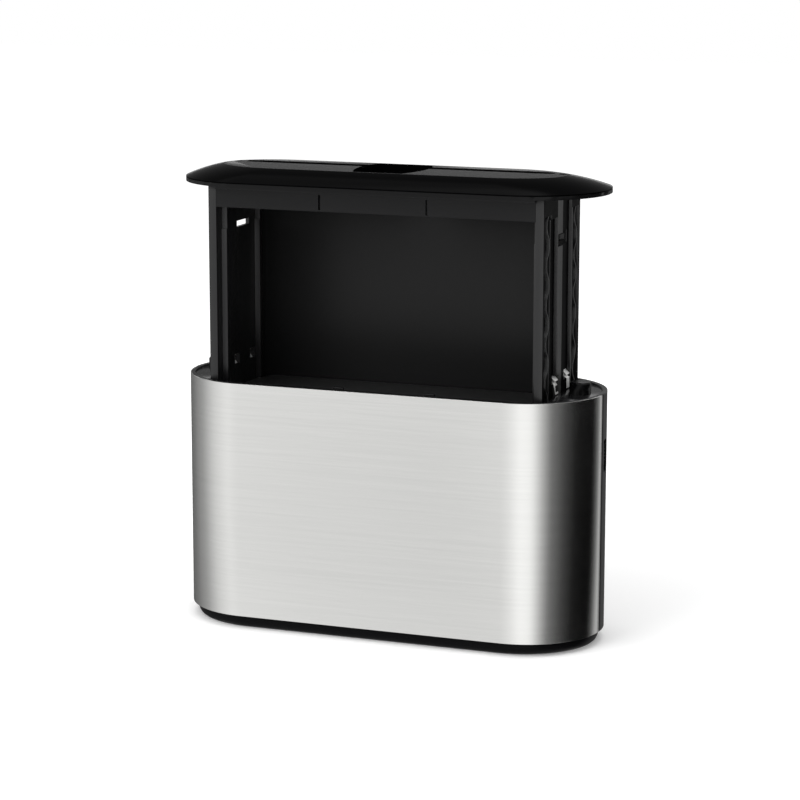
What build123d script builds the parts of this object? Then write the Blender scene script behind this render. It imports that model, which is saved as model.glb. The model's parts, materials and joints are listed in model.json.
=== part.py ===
from build123d import *
from math import asin, cos, radians, sin, sqrt
import os

# Countertop dispenser for folded paper towels, shown with its lid lifted for filling.
# Millimetres, +Z up, origin on the counter under the middle of the cabinet.
# The front is -Y. The carriage with the lid slides down into the cabinet by TRAVEL.

# Overall sizes
BODY_LENGTH = 320.0
BODY_DEPTH = 117.0
LID_LAP_ENDS = 1.5       # how far the lid reaches over each end of the cabinet
LID_LAP_SIDES = 0.5
LID_LENGTH = BODY_LENGTH + 2 * LID_LAP_ENDS
LID_DEPTH = BODY_DEPTH + 2 * LID_LAP_SIDES
RIM_Z = 185.0
LID_GAP = 143.7          # from the cabinet rim up to the underside of the lifted lid
TRAVEL = 135.0           # how far the carriage and the towel platform go down

# Walls
STEEL_WALL = 1.0
SHELL_WALL = 2.5
SHAFT_WALL = 2.6
PLASTIC_WALL = 2.5
FIT = 0.4                # running clearance of the sliding pieces
INNER_INSET = STEEL_WALL + SHELL_WALL
INNER_RADIUS = BODY_DEPTH / 2 - INNER_INSET
END_CENTRE_X = (BODY_LENGTH - BODY_DEPTH) / 2

# Base
FOOT_RADIUS = 8.0
FOOT_HEIGHT = 3.0
FOOT_STAND = 1.5         # how far a foot stands below the base
FOOT_END_GAP = 50.0      # from the end of the cabinet to the middle of a foot
FOOT_SIDE_GAP = 28.5
FOOT_X = BODY_LENGTH / 2 - FOOT_END_GAP
FOOT_Y = BODY_DEPTH / 2 - FOOT_SIDE_GAP
BASE_HEIGHT = 8.0
BASE_TOP_INSET = 4.5
BASE_BOTTOM_INSET = 8.5
BASE_RIM_WALL = 3.0
BASE_FLOOR = 2.5
SCREW_RADIUS = 2.0
SCREW_HEAD_RADIUS = 3.6
SCREW_HEAD_HEIGHT = 2.2
SCREW_LENGTH = 16.0
BOSS_RADIUS = 5.5
BOSS_HEIGHT = 22.0
BOSS_RIB = 2.4
BOSS_ANGLE = 26.0        # direction of a screw boss from the centre of a round end

# Front steel and rear cover
STEEL_END_Y = -4.0
SEAM_Y = -2.5
SLOT_WIDTH = 10.0
SLOT_HEIGHT = 24.0
SLOT_Y = 6.0
SLOT_DROP = 46.0         # middle of a button slot below the rim
SLOT_Z = RIM_Z - SLOT_DROP

# Deck and shaft
DECK_DROP = 0.8
DECK_THICKNESS = 2.0
POST_RADIUS = 7.8
POST_END_GAP = 18.0
POST_X = BODY_LENGTH / 2 - POST_END_GAP
POST_HEIGHT = 8.0        # above the rim
POST_ROUND = 1.6

# Carriage side frames
FRAME_FRONT_GAP = 11.5
FRAME_BACK_GAP = 18.5
FRAME_CORNER_GAP = 1.04399941  # from a front corner to the inside of the round end
FRAME_THICKNESS = 6.0
FRAME_FRONT_Y = FRAME_FRONT_GAP - BODY_DEPTH / 2
FRAME_BACK_Y = BODY_DEPTH / 2 - FRAME_BACK_GAP
FRAME_OUTER_X = END_CENTRE_X + sqrt((INNER_RADIUS - FRAME_CORNER_GAP) ** 2 - FRAME_FRONT_Y ** 2)
FRAME_BELOW_RIM = 34.0
CHANNEL_DEPTH = 2.5
EDGE_RIB = 3.0
FRONT_CHANNEL_SPAN = 22.0  # from the front edge of a frame to the end of its channel
REAR_CHANNEL_SPAN = 21.0
FRONT_CHANNEL_END_Y = FRAME_FRONT_Y + FRONT_CHANNEL_SPAN
REAR_CHANNEL_START_Y = FRAME_BACK_Y - REAR_CHANNEL_SPAN
CHANNEL_TOP_GAP = 13.0   # full thickness band under the lid
WAVE_PITCH = 28.0
WAVE_SWING = 3.0
WAVE_WIDTH = 1.6
GUIDE_RIB_WIDTH = 5.0
GUIDE_RIB_HEIGHT = 4.0
GUIDE_RIB_TOP_WIDTH = 3.0
GUIDE_RIB_STEP = 33.0    # from the lid down to the step in a guide rib
FRONT_GUIDE_INSET = 12.0  # from the edge of a frame to the middle of its guide rib
REAR_GUIDE_INSET = 15.0
FRONT_GUIDE_Y = FRAME_FRONT_Y + FRONT_GUIDE_INSET
REAR_GUIDE_Y = FRAME_BACK_Y - REAR_GUIDE_INSET
GROOVE_DEPTH = 2.0
GROOVE_WIDTH = 9.0
CATCH_WINDOW_Y = 1.0
CATCH_WINDOW_WIDTH = 22.0
CATCH_WINDOW_HEIGHT = 4.5
CATCH_POCKET_WIDTH = 28.0
CATCH_POCKET_HEIGHT = 9.0
CATCH_POCKET_DEPTH = 3.2
CLIP_SLOT_WIDTH = 8.6
CLIP_SLOT_HEIGHT = 7.5
CLIP_SLOT_FRONT_Y = -11.7
CLIP_SLOT_BACK_Y = 16.2
CLIP_SLOT_RISE = 6.0     # lower edge of the clip slots above the rim
CLIP_THICKNESS = 0.5
CLIP_SIDE_GAP = 0.5
CLIP_BOW = 3.6

# Header and back panel
HEADER_HEIGHT = 16.0
HEADER_THICKNESS = 3.0
HEADER_SLIT_X = 41.0
HEADER_SLIT_HEIGHT = 11.0
HEADER_SLIT_WIDTH = 1.5
LEDGE_HEIGHT = 2.8       # ledge along the top edge of the header
LEDGE_REACH = 1.5
BACK_THICKNESS = 3.0
BACK_INSET = 3.5
BACK_Y = FRAME_BACK_Y - BACK_INSET

# Lid
PAN_THICKNESS = 3.0
LID_RISE = 9.8           # dome above the pan
LID_SLOPE = 20.0         # run of the sloped border
LID_EDGE = 0.6           # upright edge of the dome above the parting line
LID_WALL = 2.5
LID_CORE_HALF = 29.0     # solid middle part around the dispensing opening
SADDLE_DEPTH = 6.0
SADDLE_HALF_MIDDLE = 24.5
SADDLE_HALF_EDGE = 17.0
SADDLE_DRAFT = 30.0
THROAT_LENGTH = 38.0     # along X
THROAT_WIDTH = 64.0      # along Y
THROAT_ROUND = 12.0
THROAT_COLLAR = 5.0
THROAT_WALL = 2.0
CHANNEL_END_GAP = 41.5   # shallow channel along the top, across the saddle
CHANNEL_LENGTH = LID_LENGTH - 2 * CHANNEL_END_GAP
CHANNEL_WIDTH = 10.0
CHANNEL_Y = 5.0
CHANNEL_SINK = 1.2
DIMPLE_RADIUS = 4.2
DIMPLE_END_GAP = 33.5
DIMPLE_X = LID_LENGTH / 2 - DIMPLE_END_GAP
DIMPLE_Y = 4.0
DIMPLE_DEPTH = 1.6
LID_SCREW_RADIUS = 1.5
LID_SCREW_HEAD = 3.0
LID_SCREW_LENGTH = 11.0
LID_SCREW_FRONT_INSET = 11.0
LID_SCREW_BACK_INSET = 10.0
LID_SCREW_FRONT_Y = FRAME_FRONT_Y + LID_SCREW_FRONT_INSET
LID_SCREW_BACK_Y = FRAME_BACK_Y - LID_SCREW_BACK_INSET

# Towel platform
PLATFORM_DROP = 10.0     # its top lies this far under the rim
PLATFORM_THICKNESS = 3.0
PLATFORM_SKIRT = 12.0
PLATFORM_END_FIT = 5.0
PLATFORM_FRONT_FIT = 3.8
PLATFORM_BACK_FIT = 0.5
PLATFORM_HALF = FRAME_OUTER_X - FRAME_THICKNESS - PLATFORM_END_FIT
PLATFORM_FRONT_Y = FRAME_FRONT_Y + PLATFORM_FRONT_FIT
PLATFORM_BACK_Y = BACK_Y - PLATFORM_BACK_FIT
PLATFORM_CORNER = 6.0
NOTCH_X = 35.0
NOTCH_WIDTH = 8.0
NOTCH_DEPTH = 3.0
PAD_THICKNESS = 1.5

# Lift springs
SPRING_END_GAP = 90.0
SPRING_X = BODY_LENGTH / 2 - SPRING_END_GAP
SPRING_Y = -3.0
SPRING_RADIUS = 11.0
SPRING_WIRE = 0.9
CUP_RADIUS = 15.0
CUP_HEIGHT = 9.0
CUP_WALL = 2.0

# Rocker latches
PIVOT_END_GAP = 20.0
PIVOT_RISE = 7.0         # above the middle of the button slot
PIVOT_X = BODY_LENGTH / 2 - PIVOT_END_GAP
PIVOT_Z = SLOT_Z + PIVOT_RISE
PIVOT_RADIUS = 2.0
PIVOT_FIT = 0.1
LATCH_WIDTH = 8.0
LATCH_NOSE_GRIP = 1.6    # how far the nose reaches into the frame
LATCH_NOSE_RISE = 13.0
LATCH_NOSE_X = FRAME_OUTER_X - LATCH_NOSE_GRIP
LATCH_NOSE_Z = PIVOT_Z + LATCH_NOSE_RISE
LATCH_NOSE_HEIGHT = 3.5
LATCH_ARM = 5.0
BUTTON_RECESS = 2.2
BUTTON_HEIGHT = 16.0
BUTTON_DEPTH = 6.0
EAR_THICKNESS = 2.4
EAR_GAP = 0.3
RETURN_SPRING_RADIUS = 3.0
RETURN_SPRING_WIRE = 0.4
RETURN_SPRING_DROP = 9.0  # below the pivot

# Worked out places
BASE_BOTTOM_Z = FOOT_STAND
BASE_TOP_Z = BASE_BOTTOM_Z + BASE_HEIGHT
DECK_TOP_Z = RIM_Z - DECK_DROP
DECK_BOTTOM_Z = DECK_TOP_Z - DECK_THICKNESS
BOSS_REACH = BODY_DEPTH / 2 - BASE_BOTTOM_INSET - BASE_RIM_WALL - SCREW_HEAD_RADIUS - 0.8
LID_BOTTOM_Z = RIM_Z + LID_GAP
PAN_TOP_Z = LID_BOTTOM_Z + PAN_THICKNESS
LID_TOP_Z = PAN_TOP_Z + LID_RISE
FRAME_INNER_X = FRAME_OUTER_X - FRAME_THICKNESS
FRAME_BOTTOM_Z = RIM_Z - FRAME_BELOW_RIM
SHAFT_X = FRAME_OUTER_X + FIT
SHAFT_FRONT_Y = FRAME_FRONT_Y - FIT
SHAFT_BACK_Y = FRAME_BACK_Y + FIT
PLATFORM_TOP_Z = RIM_Z - PLATFORM_DROP
PLATFORM_BOTTOM_Z = PLATFORM_TOP_Z - PLATFORM_THICKNESS
NOSE_MIDDLE_Z = LATCH_NOSE_Z + LATCH_NOSE_HEIGHT / 2

SIDES = {"left": -1, "right": 1}


def span(x0, x1, y0, y1, z0, z1):
    """Block between two corners."""
    size = (abs(x1 - x0), abs(y1 - y0), abs(z1 - z0))
    return Pos((x0 + x1) / 2, (y0 + y1) / 2, (z0 + z1) / 2) * Box(*size)


def post(x, y, z0, z1, radius):
    """Upright round bar."""
    return Pos(x, y, (z0 + z1) / 2) * Cylinder(radius, z1 - z0)


def across(x, y0, y1, z, radius):
    """Round bar along Y."""
    return Pos(x, (y0 + y1) / 2, z) * Rot(90, 0, 0) * Cylinder(radius, y1 - y0)


def along(x0, x1, y, z, radius):
    """Round bar along X."""
    return Pos((x0 + x1) / 2, y, z) * Rot(0, 90, 0) * Cylinder(radius, x1 - x0)


def oval(length, depth, z0, z1):
    """Slab with two full round ends."""
    return Pos(0, 0, z0) * extrude(SlotOverall(length, depth), z1 - z0)


def body_oval(inset, z0, z1):
    """Slab that follows the outline of the cabinet at an inset."""
    return oval(BODY_LENGTH - 2 * inset, BODY_DEPTH - 2 * inset, z0, z1)


def half_space(front, y):
    """Everything in front of or behind the plane at y."""
    reach = BODY_LENGTH
    if front:
        return span(-reach, reach, -reach, y, -reach, 2 * reach)
    return span(-reach, reach, y, reach, -reach, 2 * reach)


def mirror_to(side, shape):
    """The right hand shape, or its mirror image on the left."""
    return shape if side > 0 else mirror(shape, Plane.YZ)


# Base

def boss_places():
    """Centres of the four screw bosses, just inside the rim wall of the base."""
    dx = BOSS_REACH * cos(radians(BOSS_ANGLE))
    dy = BOSS_REACH * sin(radians(BOSS_ANGLE))
    return [(sx * (END_CENTRE_X + dx), sy * dy) for sx in (-1, 1) for sy in (-1, 1)]


def foot_places():
    return [(sx * FOOT_X, sy * FOOT_Y) for sx in (-1, 1) for sy in (-1, 1)]


def base_outline(inset, z):
    length = BODY_LENGTH - 2 * inset
    depth = BODY_DEPTH - 2 * inset
    return Pos(0, 0, z) * SlotOverall(length, depth)


def base_plinth():
    """Tray with a convex tapered border, bosses for the feet and holes for the screws."""
    middle_inset = BASE_TOP_INSET + (BASE_BOTTOM_INSET - BASE_TOP_INSET) * 0.3
    middle_z = BASE_BOTTOM_Z + BASE_HEIGHT * 0.4
    outlines = [
        base_outline(BASE_BOTTOM_INSET, BASE_BOTTOM_Z),
        base_outline(middle_inset, middle_z),
        base_outline(BASE_TOP_INSET, BASE_TOP_Z),
    ]
    tray = loft(outlines, ruled=True)
    floor_z = BASE_TOP_Z - BASE_FLOOR
    tray -= body_oval(BASE_BOTTOM_INSET + BASE_RIM_WALL, BASE_BOTTOM_Z, floor_z)
    for x, y in foot_places():
        tray += post(x, y, FOOT_HEIGHT, floor_z, FOOT_RADIUS + 1.5)
    for x, y in boss_places():
        tray -= post(x, y, BASE_BOTTOM_Z, BASE_TOP_Z, SCREW_RADIUS + 0.2)
        tray -= post(x, y, BASE_BOTTOM_Z, floor_z, SCREW_HEAD_RADIUS + 0.4)
    return tray


def rubber_feet():
    foot = Cylinder(FOOT_RADIUS, FOOT_HEIGHT)
    foot = chamfer(foot.edges().group_by(Axis.Z)[0], 0.6)
    return Compound(children=[Pos(x, y, FOOT_HEIGHT / 2) * foot for x, y in foot_places()])


def base_screws():
    """Pan head screws from below, one into each boss of the shells."""
    floor_z = BASE_TOP_Z - BASE_FLOOR
    screws = []
    for x, y in boss_places():
        screw = post(x, y, floor_z, floor_z + SCREW_LENGTH, SCREW_RADIUS - 0.1)
        screw += post(x, y, floor_z - SCREW_HEAD_HEIGHT, floor_z, SCREW_HEAD_RADIUS)
        screws.append(screw)
    return Compound(children=screws)


def spring_cups():
    """Cups on the base floor that hold the foot of each lift spring."""
    cups = []
    for side in SIDES.values():
        x = side * SPRING_X
        cup = post(x, SPRING_Y, BASE_TOP_Z, BASE_TOP_Z + CUP_HEIGHT, CUP_RADIUS)
        cup -= post(x, SPRING_Y, BASE_TOP_Z + CUP_WALL, BASE_TOP_Z + CUP_HEIGHT, CUP_RADIUS - CUP_WALL)
        cups.append(cup)
    return Compound(children=cups)


# Cabinet

def shell_bosses(front):
    """The two screw bosses of one half shell, each tied to the wall by a rib."""
    sign = -1 if front else 1
    z0 = BASE_TOP_Z
    z1 = z0 + BOSS_HEIGHT
    bosses = []
    for side in SIDES.values():
        rib = span(0, INNER_RADIUS - BOSS_REACH + 0.5, -BOSS_RIB / 2, BOSS_RIB / 2, z0, z1)
        boss = rib + post(0, 0, z0, z1, BOSS_RADIUS) - post(0, 0, z0, z1 - 2, SCREW_RADIUS)
        boss = Rot(0, 0, sign * BOSS_ANGLE) * Pos(BOSS_REACH, 0, 0) * boss
        bosses.append(mirror_to(side, Pos(END_CENTRE_X, 0, 0) * boss))
    return bosses


def front_shell():
    """Black half shell under the steel, open to the rear."""
    shell = body_oval(STEEL_WALL, BASE_TOP_Z, RIM_Z) - body_oval(INNER_INSET, BASE_TOP_Z, RIM_Z)
    shell &= half_space(True, SEAM_Y)
    for boss in shell_bosses(True):
        shell += boss
    return shell


def steel_front_wrap():
    """Stainless sheet bent around the front and both ends."""
    wrap = body_oval(0, BASE_TOP_Z, RIM_Z) - body_oval(STEEL_WALL, BASE_TOP_Z, RIM_Z)
    return wrap & half_space(True, STEEL_END_Y)


def rear_cover():
    """Rear half of the cabinet, with a rounded slot in each end for the latch buttons."""
    cover = body_oval(0, BASE_TOP_Z, RIM_Z) - body_oval(INNER_INSET, BASE_TOP_Z, RIM_Z)
    cover &= half_space(False, SEAM_Y)
    slot = Box(BODY_LENGTH + 10, SLOT_WIDTH, SLOT_HEIGHT)
    slot = fillet(slot.edges().filter_by(Axis.X), 2.0)
    cover -= Pos(0, SLOT_Y, SLOT_Z) * slot
    for boss in shell_bosses(False):
        cover += boss
    return cover


def deck(side):
    """Flat cap over one end of the cabinet, beside the shaft."""
    plate = body_oval(INNER_INSET, DECK_BOTTOM_Z, DECK_TOP_Z)
    reach = BODY_LENGTH
    plate &= span(side * SHAFT_X, side * reach, -reach, reach, 0, RIM_Z)
    return plate


def stop_post(side):
    """Round post that the lid lands on."""
    height = RIM_Z + POST_HEIGHT - DECK_TOP_Z
    bar = Cylinder(POST_RADIUS, height)
    bar = fillet(bar.edges().group_by(Axis.Z)[-1], POST_ROUND)
    return Pos(side * POST_X, 0, DECK_TOP_Z + height / 2) * bar


def latch_ears():
    """Two ears on the right hand shaft wall that hold the pivot pin of the latch."""
    ears = []
    half = LATCH_WIDTH / 2 + EAR_GAP
    x0 = SHAFT_X + SHAFT_WALL
    for sign in (-1, 1):
        near = SLOT_Y + sign * half
        far = near + sign * EAR_THICKNESS
        ear = span(x0, PIVOT_X, near, far, PIVOT_Z - 4.5, PIVOT_Z + 4.5)
        ear += across(PIVOT_X, min(near, far), max(near, far), PIVOT_Z, 4.5)
        ears.append(ear)
    return ears


def shaft_side_wall(side):
    """Wall beside a side frame, with the latch window, the ears and the spring spigot."""
    reach = FRAME_BACK_Y
    wall = span(SHAFT_X, SHAFT_X + SHAFT_WALL, FRAME_FRONT_Y + 1, reach, BASE_TOP_Z, DECK_BOTTOM_Z)
    half = LATCH_WIDTH / 2 + 1
    window_z = LATCH_NOSE_Z + LATCH_NOSE_HEIGHT / 2
    wall -= span(SHAFT_X, SHAFT_X + SHAFT_WALL, SLOT_Y - half, SLOT_Y + half, window_z - 7, window_z + 8)
    for ear in latch_ears():
        wall += ear
    spring_z = PIVOT_Z - RETURN_SPRING_DROP
    x0 = SHAFT_X + SHAFT_WALL
    wall += along(x0, x0 + 3, SLOT_Y, spring_z, RETURN_SPRING_RADIUS - 2 * RETURN_SPRING_WIRE - 0.2)
    ear_reach = LATCH_WIDTH / 2 + EAR_GAP + EAR_THICKNESS
    wall -= across(PIVOT_X, SLOT_Y - ear_reach, SLOT_Y + ear_reach, PIVOT_Z, PIVOT_RADIUS)
    return mirror_to(side, wall)


def shaft_cross_wall(front):
    """Wall across the front or back of the shaft, with a flange at deck level."""
    sign = -1 if front else 1
    y_in = SHAFT_FRONT_Y if front else SHAFT_BACK_Y
    y_out = y_in + sign * SHAFT_WALL
    half = SHAFT_X - 6
    wall = span(-half, half, y_in, y_out, BASE_TOP_Z, DECK_TOP_Z)
    flange = span(-SHAFT_X, SHAFT_X, y_in, sign * INNER_RADIUS, DECK_BOTTOM_Z, DECK_TOP_Z)
    wall += flange & body_oval(INNER_INSET, DECK_BOTTOM_Z, DECK_TOP_Z)
    return wall


# Springs, which are sealed inside and drawn as sleeves of their outer and inner size

def sleeve(radius, wire, height):
    """Upright sleeve that fills the space of a spring standing on z = 0."""
    tube = Cylinder(radius, height) - Cylinder(radius - 2 * wire, height)
    return Pos(0, 0, height / 2) * tube


def lift_spring(side):
    """Compression spring between its cup and the underside of the platform."""
    z0 = BASE_TOP_Z + CUP_WALL
    height = PLATFORM_BOTTOM_Z - z0
    return Pos(side * SPRING_X, SPRING_Y, z0) * sleeve(SPRING_RADIUS, SPRING_WIRE, height)


# Towel platform

def platform_outline():
    """Plate with rounded corners, tongues at its ends and two notches in front."""
    depth = PLATFORM_BACK_Y - PLATFORM_FRONT_Y
    middle_y = (PLATFORM_BACK_Y + PLATFORM_FRONT_Y) / 2
    plate = Pos(0, middle_y) * RectangleRounded(2 * PLATFORM_HALF, depth, PLATFORM_CORNER)
    y0, y1 = tongue_span()
    reach = FRAME_INNER_X - FIT - PAD_THICKNESS
    plate += Pos(0, (y0 + y1) / 2) * Rectangle(2 * reach, y1 - y0)
    for sign in (-1, 1):
        plate -= Pos(sign * NOTCH_X, PLATFORM_FRONT_Y) * Rectangle(NOTCH_WIDTH, 2 * NOTCH_DEPTH)
    return plate


def tongue_span():
    """Front and back of the platform tongues, between the guide ribs."""
    clear = GUIDE_RIB_WIDTH / 2 + FIT
    return FRONT_GUIDE_Y + clear, REAR_GUIDE_Y - clear


def towel_platform():
    """Plate with a skirt below and a ring for each lift spring."""
    bottom = PLATFORM_TOP_Z - PLATFORM_THICKNESS
    plate = Pos(0, 0, bottom) * extrude(platform_outline(), PLATFORM_THICKNESS)
    plate = fillet(plate.faces().sort_by(Axis.Z)[-1].edges(), 0.8)
    half = PLATFORM_HALF - PLATFORM_CORNER
    y0 = PLATFORM_FRONT_Y + PLATFORM_CORNER
    y1 = PLATFORM_BACK_Y - PLATFORM_CORNER
    skirt = span(-half, half, y0, y1, bottom - PLATFORM_SKIRT, bottom)
    wall = PLASTIC_WALL
    skirt -= span(-half + wall, half - wall, y0 + wall, y1 - wall, bottom - PLATFORM_SKIRT, bottom)
    plate += skirt
    for side in SIDES.values():
        ring = post(side * SPRING_X, SPRING_Y, bottom - CUP_HEIGHT, bottom, CUP_RADIUS)
        ring -= post(side * SPRING_X, SPRING_Y, bottom - CUP_HEIGHT, bottom, CUP_RADIUS - CUP_WALL)
        plate += ring
    return plate


def platform_pads():
    """Low friction strips on the ends of the tongues."""
    y0, y1 = tongue_span()
    x1 = FRAME_INNER_X - FIT
    bottom = PLATFORM_TOP_Z - PLATFORM_THICKNESS
    pads = [span(s * (x1 - PAD_THICKNESS), s * x1, y0, y1, bottom, PLATFORM_TOP_Z - 0.8) for s in (-1, 1)]
    return Compound(children=pads)


# Carriage

def wave_edge(y, z0, z1):
    """Line of equal arcs that bow to the rear and to the front by turns."""
    half = WAVE_PITCH / 2
    count = int((z1 - z0) / half)
    arcs = []
    for i in range(count):
        z = z1 - i * half
        bow = WAVE_SWING if i % 2 else -WAVE_SWING
        arcs.append(ThreePointArc((y, z), (y + bow, z - half / 2), (y, z - half)))
    return arcs


def wavy_rib(side, y_middle, z0, z1):
    """Rib that snakes down its channel, with its width along Y."""
    low = wave_edge(y_middle - WAVE_WIDTH / 2, z0, z1)
    high = wave_edge(y_middle + WAVE_WIDTH / 2, z0, z1)
    ends = [Line(low[0] @ 0, high[0] @ 0), Line(low[-1] @ 1, high[-1] @ 1)]
    face = make_face(Curve() + low + high + ends)
    plane = Plane(origin=(side * (FRAME_OUTER_X - CHANNEL_DEPTH), 0, 0), x_dir=(0, side, 0), z_dir=(side, 0, 0))
    return extrude(plane * (face if side > 0 else mirror(face, Plane.YZ)), CHANNEL_DEPTH)


def channel_spans():
    """Front and rear channel, between their edge ribs."""
    front = (FRAME_FRONT_Y + EDGE_RIB, FRONT_CHANNEL_END_Y - EDGE_RIB)
    rear = (REAR_CHANNEL_START_Y + EDGE_RIB, FRAME_BACK_Y - EDGE_RIB)
    return front, rear


def guide_rib(side, y):
    """Inward rib that guides the platform, with a narrower part under the lid."""
    step_z = LID_BOTTOM_Z - GUIDE_RIB_STEP
    x0 = side * (FRAME_INNER_X - GUIDE_RIB_HEIGHT)
    x1 = side * FRAME_INNER_X
    half = GUIDE_RIB_WIDTH / 2
    rib = span(x0, x1, y - half, y + half, FRAME_BOTTOM_Z, step_z)
    half = GUIDE_RIB_TOP_WIDTH / 2
    rib += span(x0, x1, y - half, y + half, step_z, LID_BOTTOM_Z)
    return rib


def frame_window(side, y, z, width, height):
    """Opening right through a side frame, above the level z."""
    x0 = side * FRAME_INNER_X
    x1 = side * FRAME_OUTER_X
    return span(x0, x1, y - width / 2, y + width / 2, z, z + height)


def catch_pocket(side, z):
    """Pocket in the outer face that the latch nose drops into, below and above the level z."""
    x0 = side * (FRAME_OUTER_X - CATCH_POCKET_DEPTH)
    x1 = side * FRAME_OUTER_X
    half = CATCH_POCKET_WIDTH / 2
    rise = CATCH_POCKET_HEIGHT / 2
    return span(x0, x1, CATCH_WINDOW_Y - half, CATCH_WINDOW_Y + half, z - rise, z + rise)


def brake_clips(side):
    """Bowed spring steel clips that fill the slots just above the rim."""
    z0 = RIM_Z + CLIP_SLOT_RISE
    z1 = z0 + CLIP_SLOT_HEIGHT
    middle_z = (z0 + z1) / 2
    x0 = FRAME_INNER_X + 1.6
    x1 = x0 + CLIP_BOW
    inner = [(x0, z0), (x1, middle_z), (x0, z1)]
    outer = [(x + CLIP_THICKNESS, z) for x, z in reversed(inner)]
    outline = make_face(Polyline(*inner, *outer, close=True))
    half = CLIP_SLOT_WIDTH / 2 - CLIP_SIDE_GAP
    clips = []
    for y in (CLIP_SLOT_FRONT_Y, CLIP_SLOT_BACK_Y):
        plane = Plane(origin=(0, y, 0), x_dir=(1, 0, 0), z_dir=(0, -1, 0))
        clips.append(mirror_to(side, extrude(plane * outline, half, both=True)))
    return Compound(children=clips)


def latch_groove(side):
    """Shallow groove that the latch nose runs in."""
    top = NOSE_MIDDLE_Z + TRAVEL + 5
    half = GROOVE_WIDTH / 2
    x1 = side * FRAME_OUTER_X
    x0 = side * (FRAME_OUTER_X - GROOVE_DEPTH)
    return span(x0, x1, SLOT_Y - half, SLOT_Y + half, FRAME_BOTTOM_Z, top)


def side_frame(side):
    """Moulded upright with wavy tracks outside and platform guides inside."""
    x0 = side * FRAME_INNER_X
    x1 = side * FRAME_OUTER_X
    frame = span(x0, x1, FRAME_FRONT_Y, FRAME_BACK_Y, FRAME_BOTTOM_Z, LID_BOTTOM_Z)
    channel_top = LID_BOTTOM_Z - CHANNEL_TOP_GAP
    for y0, y1 in channel_spans():
        frame -= span(side * (FRAME_OUTER_X - CHANNEL_DEPTH), x1, y0, y1, FRAME_BOTTOM_Z, channel_top)
        frame += wavy_rib(side, (y0 + y1) / 2, FRAME_BOTTOM_Z, channel_top)
    frame -= latch_groove(side)
    for z in (NOSE_MIDDLE_Z, NOSE_MIDDLE_Z + TRAVEL):
        frame -= catch_pocket(side, z)
        window_z = z - CATCH_WINDOW_HEIGHT / 2
        frame -= frame_window(side, CATCH_WINDOW_Y, window_z, CATCH_WINDOW_WIDTH, CATCH_WINDOW_HEIGHT)
    for y in (CLIP_SLOT_FRONT_Y, CLIP_SLOT_BACK_Y):
        frame -= frame_window(side, y, RIM_Z + CLIP_SLOT_RISE, CLIP_SLOT_WIDTH, CLIP_SLOT_HEIGHT)
    for y in (FRONT_GUIDE_Y, REAR_GUIDE_Y):
        frame += guide_rib(side, y)
    for y in (LID_SCREW_FRONT_Y, LID_SCREW_BACK_Y):
        z0 = LID_BOTTOM_Z - LID_SCREW_LENGTH + PAN_THICKNESS
        frame -= post((x0 + x1) / 2, y, z0, LID_BOTTOM_Z, LID_SCREW_RADIUS)
    return frame


def front_header():
    """Low band under the front of the lid, with a ledge on top and two slits."""
    z0 = LID_BOTTOM_Z - HEADER_HEIGHT
    band = span(-FRAME_INNER_X, FRAME_INNER_X, FRAME_FRONT_Y, FRAME_FRONT_Y + HEADER_THICKNESS, z0, LID_BOTTOM_Z)
    ledge_z = LID_BOTTOM_Z - LEDGE_HEIGHT
    ledge_y = FRAME_FRONT_Y - LEDGE_REACH
    band += span(-FRAME_INNER_X, FRAME_INNER_X, ledge_y, FRAME_FRONT_Y, ledge_z, LID_BOTTOM_Z)
    half = HEADER_SLIT_WIDTH / 2
    slit_z = z0 + (HEADER_HEIGHT - LEDGE_HEIGHT - HEADER_SLIT_HEIGHT) / 2
    for sign in (-1, 1):
        x = sign * HEADER_SLIT_X
        y1 = FRAME_FRONT_Y + HEADER_THICKNESS
        band -= span(x - half, x + half, FRAME_FRONT_Y, y1, slit_z, slit_z + HEADER_SLIT_HEIGHT)
    return band


def back_panel():
    """Panel across the back of the towel bay."""
    return span(-FRAME_INNER_X, FRAME_INNER_X, BACK_Y, BACK_Y + BACK_THICKNESS, FRAME_BOTTOM_Z, LID_BOTTOM_Z)


# Lid

def lid_section(inset, z0, top):
    """Half section of the dome from the middle to its rounded border."""
    half = LID_DEPTH / 2 - inset
    edge_z = PAN_TOP_Z + LID_EDGE
    rise = top - edge_z
    run = LID_SLOPE
    radius = (run * run + rise * rise) / (2 * rise)
    turn = asin(run / radius) / 2
    knee = (half - run + radius * sin(turn), top - radius + radius * cos(turn))
    outline = Curve() + [
        Line((0, z0), (half, z0)),
        Line((half, z0), (half, edge_z)),
        ThreePointArc((half, edge_z), knee, (half - run, top)),
        Line((half - run, top), (0, top)),
        Line((0, top), (0, z0)),
    ]
    return make_face(outline)


def lid_dome(inset, z0, top):
    """Half section drawn along X and turned around both ends."""
    half_run = (LID_LENGTH - LID_DEPTH) / 2
    section = lid_section(inset, z0, top)
    front = Plane(origin=(-half_run, 0, 0), x_dir=(0, -1, 0), z_dir=(-1, 0, 0))
    both = extrude(front * section, -2 * half_run)
    both += mirror(both, Plane.XZ)
    upright = Plane.XZ * section
    cap = revolve(upright, Axis.Z, 360)
    for sign in (-1, 1):
        both += Pos(sign * half_run, 0, 0) * cap
    return both


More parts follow.
